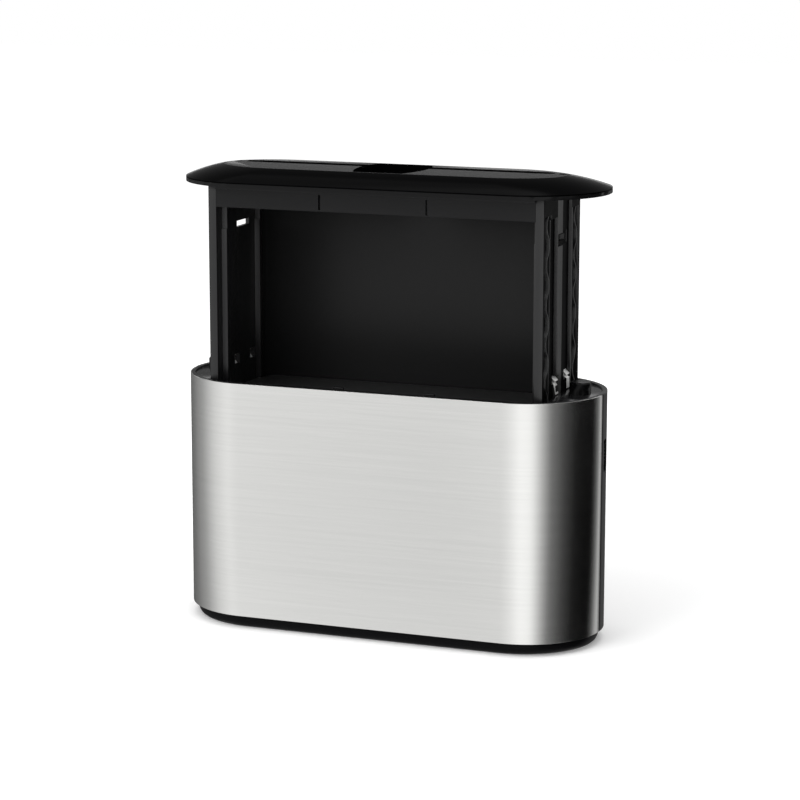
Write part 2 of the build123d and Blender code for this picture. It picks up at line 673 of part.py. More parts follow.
def saddle_cut():
    """Drafted trough that runs across the lid and is widest in the middle."""
    floor = LID_TOP_Z - SADDLE_DEPTH
    half = LID_DEPTH / 2 + 2
    right = ThreePointArc((SADDLE_HALF_EDGE, -half), (SADDLE_HALF_MIDDLE, 0), (SADDLE_HALF_EDGE, half))
    left = ThreePointArc((-SADDLE_HALF_EDGE, half), (-SADDLE_HALF_MIDDLE, 0), (-SADDLE_HALF_EDGE, -half))
    outline = Curve() + [
        right, Line(right @ 1, left @ 0), left, Line(left @ 1, right @ 0),
    ]
    return Pos(0, 0, floor) * extrude(make_face(outline), SADDLE_DEPTH + 2, taper=-SADDLE_DRAFT)


def throat(extra, z0, z1):
    """Rounded opening that the towels come through."""
    outline = RectangleRounded(THROAT_LENGTH + 2 * extra, THROAT_WIDTH + 2 * extra, THROAT_ROUND + extra)
    return Pos(0, 0, z0) * extrude(outline, z1 - z0)


def lid_cover():
    """Domed cover, hollow on both sides of the dispensing opening."""
    cover = lid_dome(0, PAN_TOP_Z, LID_TOP_Z)
    hollow = lid_dome(LID_WALL, PAN_TOP_Z, LID_TOP_Z - LID_WALL)
    reach = LID_LENGTH
    core = span(-LID_CORE_HALF, LID_CORE_HALF, -reach, reach, PAN_TOP_Z, LID_TOP_Z)
    cover -= hollow - core
    cover -= saddle_cut()
    cover -= throat(0, PAN_TOP_Z, LID_TOP_Z)
    sunk = extrude(SlotOverall(CHANNEL_LENGTH, CHANNEL_WIDTH), CHANNEL_SINK)
    cover -= Pos(0, CHANNEL_Y, LID_TOP_Z - CHANNEL_SINK) * sunk
    for sign in (-1, 1):
        cover -= post(sign * DIMPLE_X, DIMPLE_Y, LID_TOP_Z - DIMPLE_DEPTH, LID_TOP_Z, DIMPLE_RADIUS)
    return cover


def lid_pan():
    """Flat underside of the lid with a collar around the throat."""
    pan = oval(LID_LENGTH, LID_DEPTH, LID_BOTTOM_Z, PAN_TOP_Z)
    pan = chamfer(pan.faces().sort_by(Axis.Z)[-1].edges(), 0.4)
    pan += throat(THROAT_WALL, LID_BOTTOM_Z - THROAT_COLLAR, LID_BOTTOM_Z)
    pan -= throat(0, LID_BOTTOM_Z - THROAT_COLLAR, PAN_TOP_Z)
    for x, y in lid_screw_places():
        pan -= post(x, y, LID_BOTTOM_Z, PAN_TOP_Z, LID_SCREW_RADIUS + 0.2)
    return pan


def lid_screw_places():
    x = (FRAME_INNER_X + FRAME_OUTER_X) / 2
    return [(s * x, y) for s in (-1, 1) for y in (LID_SCREW_FRONT_Y, LID_SCREW_BACK_Y)]


def lid_screws():
    """Screws from the pan down into the tops of the side frames."""
    screws = []
    for x, y in lid_screw_places():
        screw = post(x, y, PAN_TOP_Z - LID_SCREW_LENGTH, PAN_TOP_Z, LID_SCREW_RADIUS - 0.05)
        screw += post(x, y, PAN_TOP_Z, PAN_TOP_Z + 2, LID_SCREW_HEAD)
        screws.append(screw)
    return Compound(children=screws)


# Latches

def latch_outline():
    """Side view of the right hand latch: nose, arm, pivot and button."""
    face_x = END_CENTRE_X + BODY_DEPTH / 2 - BUTTON_RECESS
    arm_x0 = PIVOT_X - LATCH_ARM / 2
    nose_top = LATCH_NOSE_Z + LATCH_NOSE_HEIGHT
    button_z0 = SLOT_Z - BUTTON_HEIGHT / 2
    button_z1 = SLOT_Z + BUTTON_HEIGHT / 2
    shape = area(LATCH_NOSE_X, PIVOT_X + LATCH_ARM / 2, LATCH_NOSE_Z, nose_top)
    shape += area(arm_x0, PIVOT_X + LATCH_ARM / 2, PIVOT_Z, nose_top)
    shape += Pos(PIVOT_X, PIVOT_Z) * Circle(PIVOT_RADIUS + 2.5)
    shape += area(PIVOT_X, face_x, button_z1 - 5, button_z1)
    shape += area(face_x - BUTTON_DEPTH, face_x, button_z0, button_z1)
    shape -= Pos(PIVOT_X, PIVOT_Z) * Circle(PIVOT_RADIUS + PIVOT_FIT)
    return shape


def area(x0, x1, z0, z1):
    """Flat rectangle between two corners."""
    return Pos((x0 + x1) / 2, (z0 + z1) / 2) * Rectangle(x1 - x0, z1 - z0)


def latch(side):
    """Rocker that is pressed through the slot and catches the side frame with its nose."""
    plane = Plane(origin=(0, SLOT_Y, 0), x_dir=(1, 0, 0), z_dir=(0, -1, 0))
    rocker = extrude(plane * latch_outline(), LATCH_WIDTH / 2, both=True)
    return mirror_to(side, rocker)


def latch_pin(side):
    reach = LATCH_WIDTH / 2 + EAR_GAP + EAR_THICKNESS
    return across(side * PIVOT_X, SLOT_Y - reach, SLOT_Y + reach, PIVOT_Z, PIVOT_RADIUS)


def latch_spring(side):
    """Small compression spring from the shaft wall to just short of the pressed button."""
    x0 = SHAFT_X + SHAFT_WALL
    x1 = END_CENTRE_X + BODY_DEPTH / 2 - BUTTON_RECESS - BUTTON_DEPTH - 1.9
    spring = sleeve(RETURN_SPRING_RADIUS, RETURN_SPRING_WIRE, x1 - x0)
    spring = Pos(x0, SLOT_Y, PIVOT_Z - RETURN_SPRING_DROP) * Rot(0, 90, 0) * spring
    return mirror_to(side, spring)


def write_parts():
    os.makedirs("parts", exist_ok=True)
    parts = {
        "base_plinth": base_plinth(),
        "rubber_feet": rubber_feet(),
        "base_screws": base_screws(),
        "spring_cups": spring_cups(),
        "front_shell": front_shell(),
        "steel_front_wrap": steel_front_wrap(),
        "rear_cover": rear_cover(),
        "shaft_front_wall": shaft_cross_wall(True),
        "shaft_back_wall": shaft_cross_wall(False),
        "towel_platform": towel_platform(),
        "platform_pads": platform_pads(),
        "front_header": front_header(),
        "back_panel": back_panel(),
        "lid_pan": lid_pan(),
        "lid_cover": lid_cover(),
        "lid_screws": lid_screws(),
    }
    for name, side in SIDES.items():
        parts[f"deck_{name}"] = deck(side)
        parts[f"stop_post_{name}"] = stop_post(side)
        parts[f"shaft_wall_{name}"] = shaft_side_wall(side)
        parts[f"side_frame_{name}"] = side_frame(side)
        parts[f"brake_clips_{name}"] = brake_clips(side)
        parts[f"lift_spring_{name}"] = lift_spring(side)
        parts[f"latch_{name}"] = latch(side)
        parts[f"latch_pin_{name}"] = latch_pin(side)
        parts[f"latch_spring_{name}"] = latch_spring(side)
    for name, shape in parts.items():
        export_step(shape, f"parts/{name}.step")


write_parts()
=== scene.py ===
"""Looks of a countertop dispenser for folded paper towels, shown with its lid lifted."""
import json
import logging
import math
from dataclasses import dataclass, field
from enum import Enum
from typing import Callable

import bpy
from mathutils import Matrix, Vector

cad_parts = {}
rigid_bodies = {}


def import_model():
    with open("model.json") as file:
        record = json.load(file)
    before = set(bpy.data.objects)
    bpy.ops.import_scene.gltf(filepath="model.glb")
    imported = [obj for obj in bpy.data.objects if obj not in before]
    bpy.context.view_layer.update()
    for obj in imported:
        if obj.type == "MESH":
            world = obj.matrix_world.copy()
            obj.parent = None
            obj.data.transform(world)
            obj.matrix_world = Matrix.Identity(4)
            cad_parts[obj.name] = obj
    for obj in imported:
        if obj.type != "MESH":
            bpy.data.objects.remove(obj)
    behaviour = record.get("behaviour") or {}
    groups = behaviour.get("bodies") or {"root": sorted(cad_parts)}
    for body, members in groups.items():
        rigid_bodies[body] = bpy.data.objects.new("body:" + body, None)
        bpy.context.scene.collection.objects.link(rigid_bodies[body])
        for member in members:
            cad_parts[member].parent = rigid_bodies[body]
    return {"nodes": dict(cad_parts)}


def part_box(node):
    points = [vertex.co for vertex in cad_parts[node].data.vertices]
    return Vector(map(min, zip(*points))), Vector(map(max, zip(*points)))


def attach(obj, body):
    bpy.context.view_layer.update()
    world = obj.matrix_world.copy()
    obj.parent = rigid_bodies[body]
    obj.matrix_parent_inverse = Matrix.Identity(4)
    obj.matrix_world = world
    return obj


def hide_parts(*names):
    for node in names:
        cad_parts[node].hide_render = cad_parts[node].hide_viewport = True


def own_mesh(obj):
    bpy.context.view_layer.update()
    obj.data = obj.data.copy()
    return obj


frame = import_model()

LOG = logging.getLogger("towel_dispenser")
MM = 0.001

Triple = tuple[float, float, float]
Piece = bpy.types.Object
Face = bpy.types.MeshPolygon
Socket = bpy.types.NodeSocket


class Surface(Enum):
    """The kinds of surface structure that a finish can have."""

    MOULDED = "moulded"
    BRUSHED = "brushed"


@dataclass(frozen=True)
class Finish:
    """One finish, with every constant that its shader needs.

    Attributes:
        title: Name of the material.
        colour: Middle colour, linear.
        roughness: Middle roughness.
        surface: Kind of structure.
        metallic: Metal share.
        specular: Specular level, 0.5 for plain plastic.
        scale: Grains per metre.
        depth: Height of the grain in metres.
        drift: How far the colour wanders, as a share.
        rough_drift: How far the roughness wanders.
    """

    title: str
    colour: Triple
    roughness: float
    surface: Surface = Surface.MOULDED
    metallic: float = 0.0
    specular: float = 0.5
    scale: float = 1400.0
    depth: float = 0.00003
    drift: float = 0.12
    rough_drift: float = 0.06


BRUSHED_STEEL = Finish(
    "brushed_steel", (0.72, 0.72, 0.705), 0.2, Surface.BRUSHED, metallic=1.0,
    scale=2300.0, depth=0.0000032, drift=0.16, rough_drift=0.1,
)
LID_GLOSS = Finish(
    "lid_gloss_black", (0.001, 0.001, 0.0011), 0.16, specular=0.01,
    scale=500.0, depth=0.000004, drift=0.2, rough_drift=0.03,
)
LID_SATIN = Finish(
    "lid_satin_black", (0.004, 0.004, 0.0042), 0.3, specular=0.15, scale=900.0, depth=0.00001,
)
COVER_BLACK = Finish(
    "rear_cover_black", (0.005, 0.005, 0.0054), 0.34, specular=0.2, scale=1300.0, depth=0.00002,
)
FRAME_BLACK = Finish(
    "frame_black", (0.0075, 0.0075, 0.008), 0.34, specular=0.5, scale=1300.0, depth=0.00002,
)
PANEL_BLACK = Finish(
    "panel_black", (0.009, 0.009, 0.0093), 0.42, specular=0.22, scale=1100.0, depth=0.00002,
)
# Near-black with hardly any reflection, put on the sunk bands, the channel floors and the plain outer faces
# of the side frames: painted shade.
TRACK_PAINTED_SHADE = Finish(
    "track_painted_shade", (0.0018, 0.0018, 0.002), 0.5, specular=0.035, scale=1300.0, depth=0.00002,
)
HEADER_BLACK = Finish(
    "header_black", (0.006, 0.006, 0.0065), 0.4, specular=0.2, scale=1300.0, depth=0.00002,
)
DECK_GLOSS = Finish(
    "deck_gloss", (0.009, 0.009, 0.0095), 0.16, specular=0.3, scale=700.0, depth=0.000006,
)
POST_BLACK = Finish(
    "post_black", (0.003, 0.003, 0.0033), 0.26, specular=0.12, scale=900.0, depth=0.00001,
)
PLATFORM_BLACK = Finish(
    "platform_black", (0.02, 0.02, 0.0205), 0.36, specular=0.5, scale=1100.0, depth=0.00002,
)
PAD_GREY = Finish("pad_grey", (0.03, 0.03, 0.031), 0.5, scale=900.0)
SHELL_BLACK = Finish("shell_black", (0.007, 0.007, 0.0075), 0.45, specular=0.3)
BASE_BLACK = Finish(
    "base_black", (0.0035, 0.0035, 0.004), 0.34, specular=0.05, scale=900.0, depth=0.000008,
)
LATCH_BLACK = Finish("latch_black", (0.008, 0.008, 0.0085), 0.4, specular=0.35)
RUBBER = Finish(
    "foot_rubber", (0.012, 0.012, 0.012), 0.75, specular=0.2, scale=2200.0, depth=0.00004, drift=0.25,
)
ZINC = Finish("zinc_screw", (0.55, 0.56, 0.58), 0.34, metallic=1.0, scale=2600.0, depth=0.00001)
CLIP_STEEL = Finish("clip_steel", (0.85, 0.85, 0.84), 0.42, metallic=0.35, scale=2400.0, depth=0.000008)
SPRING_STEEL = Finish(
    "spring_steel", (0.62, 0.61, 0.59), 0.24, Surface.BRUSHED, metallic=1.0, scale=2400.0, depth=0.000008,
)


class NodeBench:
    """Adds nodes to one tree and joins them with few words."""

    def __init__(self, tree: bpy.types.NodeTree) -> None:
        """Keeps the tree.

        Args:
            tree: Node tree to fill.
        """
        self.tree = tree

    def add(self, kind: str, **values: object) -> bpy.types.Node:
        """Adds a node and sets its properties.

        Args:
            kind: Blender's name of the node type.
            **values: Properties of the node.

        Returns:
            The new node.
        """
        node = self.tree.nodes.new(kind)
        for name, value in values.items():
            setattr(node, name, value)
        return node

    def join(self, out: Socket, into: Socket) -> None:
        """Links an output to an input."""
        self.tree.links.new(out, into)

    def feed(self, value: object, into: Socket) -> None:
        """Sets an input to a number, or links a socket to it."""
        if isinstance(value, (int, float)):
            into.default_value = value
        else:
            self.join(value, into)

    def math(self, operation: str, first: object, second: object) -> Socket:
        """Adds a math node with two inputs, each a socket or a number.

        Args:
            operation: Name of the operation.
            first: First input.
            second: Second input.

        Returns:
            The output socket.
        """
        node = self.add("ShaderNodeMath", operation=operation)
        self.feed(first, node.inputs[0])
        self.feed(second, node.inputs[1])
        return node.outputs[0]

    def noise(self, vector: Socket, scale: object, detail: float) -> Socket:
        """Adds a noise texture.

        Args:
            vector: Coordinates.
            scale: Socket or number for the scale.
            detail: Number of finer layers.

        Returns:
            The factor output.
        """
        node = self.add("ShaderNodeTexNoise")
        node.inputs["Detail"].default_value = detail
        self.join(vector, node.inputs["Vector"])
        self.feed(scale, node.inputs["Scale"])
        return node.outputs["Fac"]


class GrainGroups:
    """The two shared surface structures, each a node group that is built once."""

    INPUTS = (("Colour", "NodeSocketColor"), ("Roughness", "NodeSocketFloat"), ("Scale", "NodeSocketFloat"),
              ("Drift", "NodeSocketFloat"), ("Rough Drift", "NodeSocketFloat"))
    OUTPUTS = (("Colour", "NodeSocketColor"), ("Roughness", "NodeSocketFloat"), ("Height", "NodeSocketFloat"))
    BROAD_SCALE = 22.0
    BRUSH_STRETCH = 0.012

    def __init__(self) -> None:
        """Builds both groups."""
        self.trees = {
            Surface.MOULDED: self.build("moulded_grain", self.moulded),
            Surface.BRUSHED: self.build("brushed_grain", self.brushed),
        }

    def build(self, title: str, structure: Callable) -> bpy.types.NodeTree:
        """Makes one group around a structure.

        Args:
            title: Name of the group.
            structure: Method that returns the broad and the fine factor.

        Returns:
            The node group.
        """
        tree = bpy.data.node_groups.new(title, "ShaderNodeTree")
        for name, kind in self.INPUTS:
            tree.interface.new_socket(name=name, in_out="INPUT", socket_type=kind)
        for name, kind in self.OUTPUTS:
            tree.interface.new_socket(name=name, in_out="OUTPUT", socket_type=kind)
        bench = NodeBench(tree)
        given = bench.add("NodeGroupInput").outputs
        result = bench.add("NodeGroupOutput").inputs
        place = bench.add("ShaderNodeTexCoord").outputs["Object"]
        broad, fine = structure(bench, place, given["Scale"])
        swing = bench.math("SUBTRACT", broad, 0.5)
        gain = bench.math("ADD", 1.0, bench.math("MULTIPLY", swing, given["Drift"]))
        tint = bench.add("ShaderNodeVectorMath", operation="SCALE")
        bench.join(given["Colour"], tint.inputs[0])
        bench.join(gain, tint.inputs["Scale"])
        bench.join(tint.outputs[0], result["Colour"])
        rough = bench.math("MULTIPLY", swing, given["Rough Drift"])
        bench.join(bench.math("ADD", given["Roughness"], rough), result["Roughness"])
        bench.join(fine, result["Height"])
        return tree

    def moulded(self, bench: NodeBench, place: Socket, scale: Socket) -> tuple:
        """Even grain of a spark eroded mould, with slow changes over the piece."""
        broad = bench.noise(place, self.BROAD_SCALE, 3.0)
        fine = bench.noise(place, scale, 2.0)
        return bench.math("MULTIPLY", bench.math("ADD", broad, fine), 0.5), fine

    def brushed(self, bench: NodeBench, place: Socket, scale: Socket) -> tuple:
        """Level brush lines, long along the sheet and very narrow up and down."""
        narrow = bench.add("ShaderNodeVectorMath", operation="MULTIPLY")
        narrow.inputs[1].default_value = (self.BRUSH_STRETCH, self.BRUSH_STRETCH, 1.0)
        bench.join(place, narrow.inputs[0])
        lines = bench.noise(narrow.outputs[0], scale, 4.0)
        thick = bench.noise(narrow.outputs[0], bench.math("MULTIPLY", scale, 0.3), 2.0)
        return bench.math("MULTIPLY", bench.math("ADD", lines, thick), 0.5), lines


class Paint:
    """Makes the material of each finish once and puts it on pieces."""

    def __init__(self) -> None:
        """Builds the shared grain groups."""
        self.grains = GrainGroups()
        self.made: dict[str, bpy.types.Material] = {}

    def material(self, finish: Finish) -> bpy.types.Material:
        """The material of a finish.

        Args:
            finish: Finish to make.

        Returns:
            The material, which pieces with the same finish share.
        """
        if finish.title in self.made:
            return self.made[finish.title]
        material = bpy.data.materials.new(finish.title)
        material.use_nodes = True
        bench = NodeBench(material.node_tree)
        shader = material.node_tree.nodes["Principled BSDF"].inputs
        shader["Metallic"].default_value = finish.metallic
        shader["Specular IOR Level"].default_value = finish.specular
        grain = bench.add("ShaderNodeGroup", node_tree=self.grains.trees[finish.surface])
        grain.inputs["Colour"].default_value = (*finish.colour, 1.0)
        grain.inputs["Roughness"].default_value = finish.roughness
        grain.inputs["Scale"].default_value = finish.scale
        grain.inputs["Drift"].default_value = finish.drift
        grain.inputs["Rough Drift"].default_value = finish.rough_drift
        bench.join(grain.outputs["Colour"], shader["Base Color"])
        bench.join(grain.outputs["Roughness"], shader["Roughness"])
        bump = bench.add("ShaderNodeBump")
        bump.inputs["Distance"].default_value = finish.depth
        bench.join(grain.outputs["Height"], bump.inputs["Height"])
        bench.join(bump.outputs["Normal"], shader["Normal"])
        self.made[finish.title] = material
        return material

    def coat(self, piece: Piece, finish: Finish) -> None:
        """Gives all of a piece one finish.

        Args:
            piece: Object to dress.
            finish: Its finish.
        """
        material = self.material(finish)
        if not piece.material_slots:
            piece.data.materials.append(material)
        for slot in piece.material_slots:
            slot.material = material

    def finished(
        self, node: str, body: str, slot: str, finish: Finish, width: float, angle: float = 40.0,
    ) -> Piece:
        """Makes the finished form of a node, with softened edges, and mounts it.

        Args:
            node: CAD node that it stands for.
            body: Body that carries it.
            slot: Material slot.
            finish: Its finish.
            width: Width of the edge rounding.
            angle: Edges that turn by more than this, in degrees, are rounded.

        Returns:
            The new piece.
        """
        piece = Hands.finish_copy(node, f"{node}_finished")
        Hands.soften(piece, width, 2, angle)
        self.coat(piece, finish)
        Hands.mount(piece, body, slot, (node,))
        return piece

    def second(
        self, piece: Piece, finish: Finish, test: Callable[[Face], bool],
    ) -> None:
        """Gives the faces that pass a test a second finish.

        Args:
            piece: Object that already has its first finish.
            finish: Finish of the chosen faces.
            test: Says for each face whether it is chosen.
        """
        piece.data.materials.append(self.material(finish))
        place = len(piece.data.materials) - 1
        for face in piece.data.polygons:
            if test(face):
                face.material_index = place


class Hands:
    """Small modelling moves that the sub-assemblies share."""

    @staticmethod
    def clear() -> None:
        """Deselects everything."""
        for item in bpy.context.view_layer.objects:
            item.select_set(False)

    @staticmethod
    def mode(name: str) -> None:
        """Switches between EDIT and OBJECT mode."""
        bpy.ops.object.mode_set(mode=name)

    @staticmethod
    def hold(piece: Piece) -> Piece:
        """Selects only this piece and makes it active."""
        Hands.clear()
        piece.select_set(True)
        bpy.context.view_layer.objects.active = piece
        return piece

    @staticmethod
    def settle(piece: Piece) -> None:
        """Moves a piece's place into its mesh, so that its object sits at the origin."""
        Hands.hold(piece)
        bpy.ops.object.transform_apply(location=True, rotation=True, scale=True)

    @staticmethod
    def pick(piece: Piece, kind: str, test: Callable) -> None:
        """Opens a piece in edit mode with only the parts that pass a test selected.

        Args:
            piece: Mesh object.
            kind: VERT, EDGE or FACE.
            test: Says for each corner, edge or face whether it is selected.
        """
        Hands.hold(piece)
        Hands.mode("EDIT")
        bpy.ops.mesh.select_mode(type=kind)
        bpy.ops.mesh.select_all(action="DESELECT")
        Hands.mode("OBJECT")
        mesh = piece.data
        for item in {"VERT": mesh.vertices, "EDGE": mesh.edges, "FACE": mesh.polygons}[kind]:
            item.select = test(item)
        Hands.mode("EDIT")

    @staticmethod
    def soften(
        piece: Piece, width: float, segments: int = 2, angle: float = 40.0, smooth: float = 32.0,
    ) -> None:
        """Rounds the sharp edges of a piece and shades its curves smoothly.

        Args:
            piece: Mesh object.
            width: Width of the rounding in metres.
            segments: Steps across the rounding.
            angle: Edges that turn by more than this, in degrees, are rounded.
            smooth: Edges that turn by less than this, in degrees, are shaded smoothly.
        """
        Hands.hold(piece)
        if width > 0:
            bevel = piece.modifiers.new("edge_round", "BEVEL")
            bevel.width = width
            bevel.segments = segments
            bevel.limit_method = "ANGLE"
            bevel.angle_limit = math.radians(angle)
            bevel.use_clamp_overlap = True
            bpy.ops.object.modifier_apply(modifier=bevel.name)
        bpy.ops.object.shade_smooth_by_angle(angle=math.radians(smooth))

    @staticmethod
    def oval(name: str, count: int, half_x: float, half_y: float, level: float) -> Piece:
        """Starts a solid from a flat oval and opens it in edit mode with its face selected.

        Args:
            name: Name of the object.
            count: Corners of its two round ends together.
            half_x: Half length.
            half_y: Half depth, which is the radius of the ends.
            level: Height of the flat oval.

        Returns:
            The oval.
        """
        Hands.clear()
        bpy.ops.mesh.primitive_circle_add(
            vertices=count, radius=half_y, fill_type="NGON", location=(0, 0, level),
            rotation=(0, 0, math.tau / (2 * count)),
        )
        oval = bpy.context.active_object
        oval.name = name
        Hands.settle(oval)
        for sign in (-1, 1):
            Hands.pick(oval, "VERT", lambda corner: corner.co.x * sign > 0)
            bpy.ops.transform.translate(value=(sign * (half_x - half_y), 0, 0))
            Hands.mode("OBJECT")
        Hands.hold(oval)
        Hands.mode("EDIT")
        bpy.ops.mesh.select_mode(type="FACE")
        bpy.ops.mesh.select_all(action="SELECT")
        return oval

    @staticmethod
    def slice(piece: Piece, axis: int, places: tuple) -> None:
        """Splits the faces of a piece along level planes.

        Args:
            piece: Mesh object.
            axis: Number of the axis that the planes are square to.
            places: Place of each plane on that axis.
        """
        normal = Vector([float(i == axis) for i in range(3)])
        Hands.hold(piece)
        Hands.mode("EDIT")
        for place in places:
            bpy.ops.mesh.select_all(action="SELECT")
            bpy.ops.mesh.bisect(plane_co=place * normal, plane_no=normal)
        Hands.mode("OBJECT")

    @staticmethod
    def ring(move: Triple, grow: tuple[float, float], centre: float = 0.0) -> None:
        """Extrudes the selected face and resizes it along the length and the depth.

        Args:
            move: Way of the extruded face.
            grow: New length and depth as shares of the old ones.
            centre: Place along the depth that stays while it is resized.
        """
        bpy.ops.mesh.extrude_region_move(TRANSFORM_OT_translate={"value": move})
        bpy.ops.transform.resize(value=(*grow, 1.0), center_override=(0.0, centre, 0.0))

    @staticmethod
    def face_out(piece: Piece) -> None:
        """Turns all faces of a piece outwards."""
        Hands.hold(piece)
        Hands.mode("EDIT")
        bpy.ops.mesh.select_all(action="SELECT")
        bpy.ops.mesh.normals_make_consistent(inside=False)
        Hands.mode("OBJECT")

    @staticmethod
    def join(items: list, name: str) -> Piece:
        """Joins objects into the first one and names it."""
        Hands.clear()
        for item in items:
            item.select_set(True)
        bpy.context.view_layer.objects.active = items[0]
        bpy.ops.object.join()
        piece = bpy.context.active_object
        piece.name = name
        return piece

    @staticmethod
    def block(low: Triple, high: Triple) -> Piece:
        """A block between two corners, as a start or a cutter.

        Args:
            low: Lowest corner.
            high: Highest corner.

        Returns:
            The block, placed in its mesh.
        """
        Hands.clear()
        middle = [(a + b) / 2 for a, b in zip(low, high)]
        bpy.ops.mesh.primitive_cube_add(size=1.0, location=middle)
        block = bpy.context.active_object
        block.scale = [b - a for a, b in zip(low, high)]
        Hands.settle(block)
        return block

    @staticmethod
    def cut(piece: Piece, cutter: Piece) -> None:
        """Cuts one object out of another and removes the cutter.

        Args:
            piece: Object to cut.
            cutter: Object that is taken away.
        """
        Hands.hold(piece)
        change = piece.modifiers.new("cut", "BOOLEAN")
        change.operation = "DIFFERENCE"
        change.object = cutter
        bpy.ops.object.modifier_apply(modifier=change.name)
        bpy.data.objects.remove(cutter)

    @staticmethod
    def finish_copy(node: str, piece_name: str) -> Piece:
        """Copies a CAD node's shape into a new clean mesh with its flat faces joined.

        Args:
            node: Name of the CAD node.
            piece_name: Name of the new piece.

        Returns:
            The new object.
        """
        Hands.hold(frame["nodes"][node])
        bpy.ops.object.duplicate(linked=False)
        piece = bpy.context.view_layer.objects.active
        piece.parent = None
        piece.name = piece_name
        for key in list(piece.keys()):
            del piece[key]
        Hands.mode("EDIT")
        bpy.ops.mesh.select_mode(type="VERT")
        bpy.ops.mesh.select_all(action="SELECT")
        bpy.ops.mesh.remove_doubles(threshold=2e-6)
        bpy.ops.mesh.dissolve_limited(angle_limit=math.radians(0.4))
        Hands.mode("OBJECT")
        return piece

    @staticmethod
    def mount(piece: Piece, body: str, slot: str, nodes: tuple[str, ...] = ()) -> None:
        """Rides a piece on its body and hides the nodes it stands for.

        Args:
            piece: Finished object.
            body: Body that carries it.
            slot: Material slot of the record; not used.
            nodes: CAD nodes that it replaces.
        """
        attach(piece, body)
        if nodes:
            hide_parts(*nodes)
        LOG.info("%s rides on %s", piece.name, body)


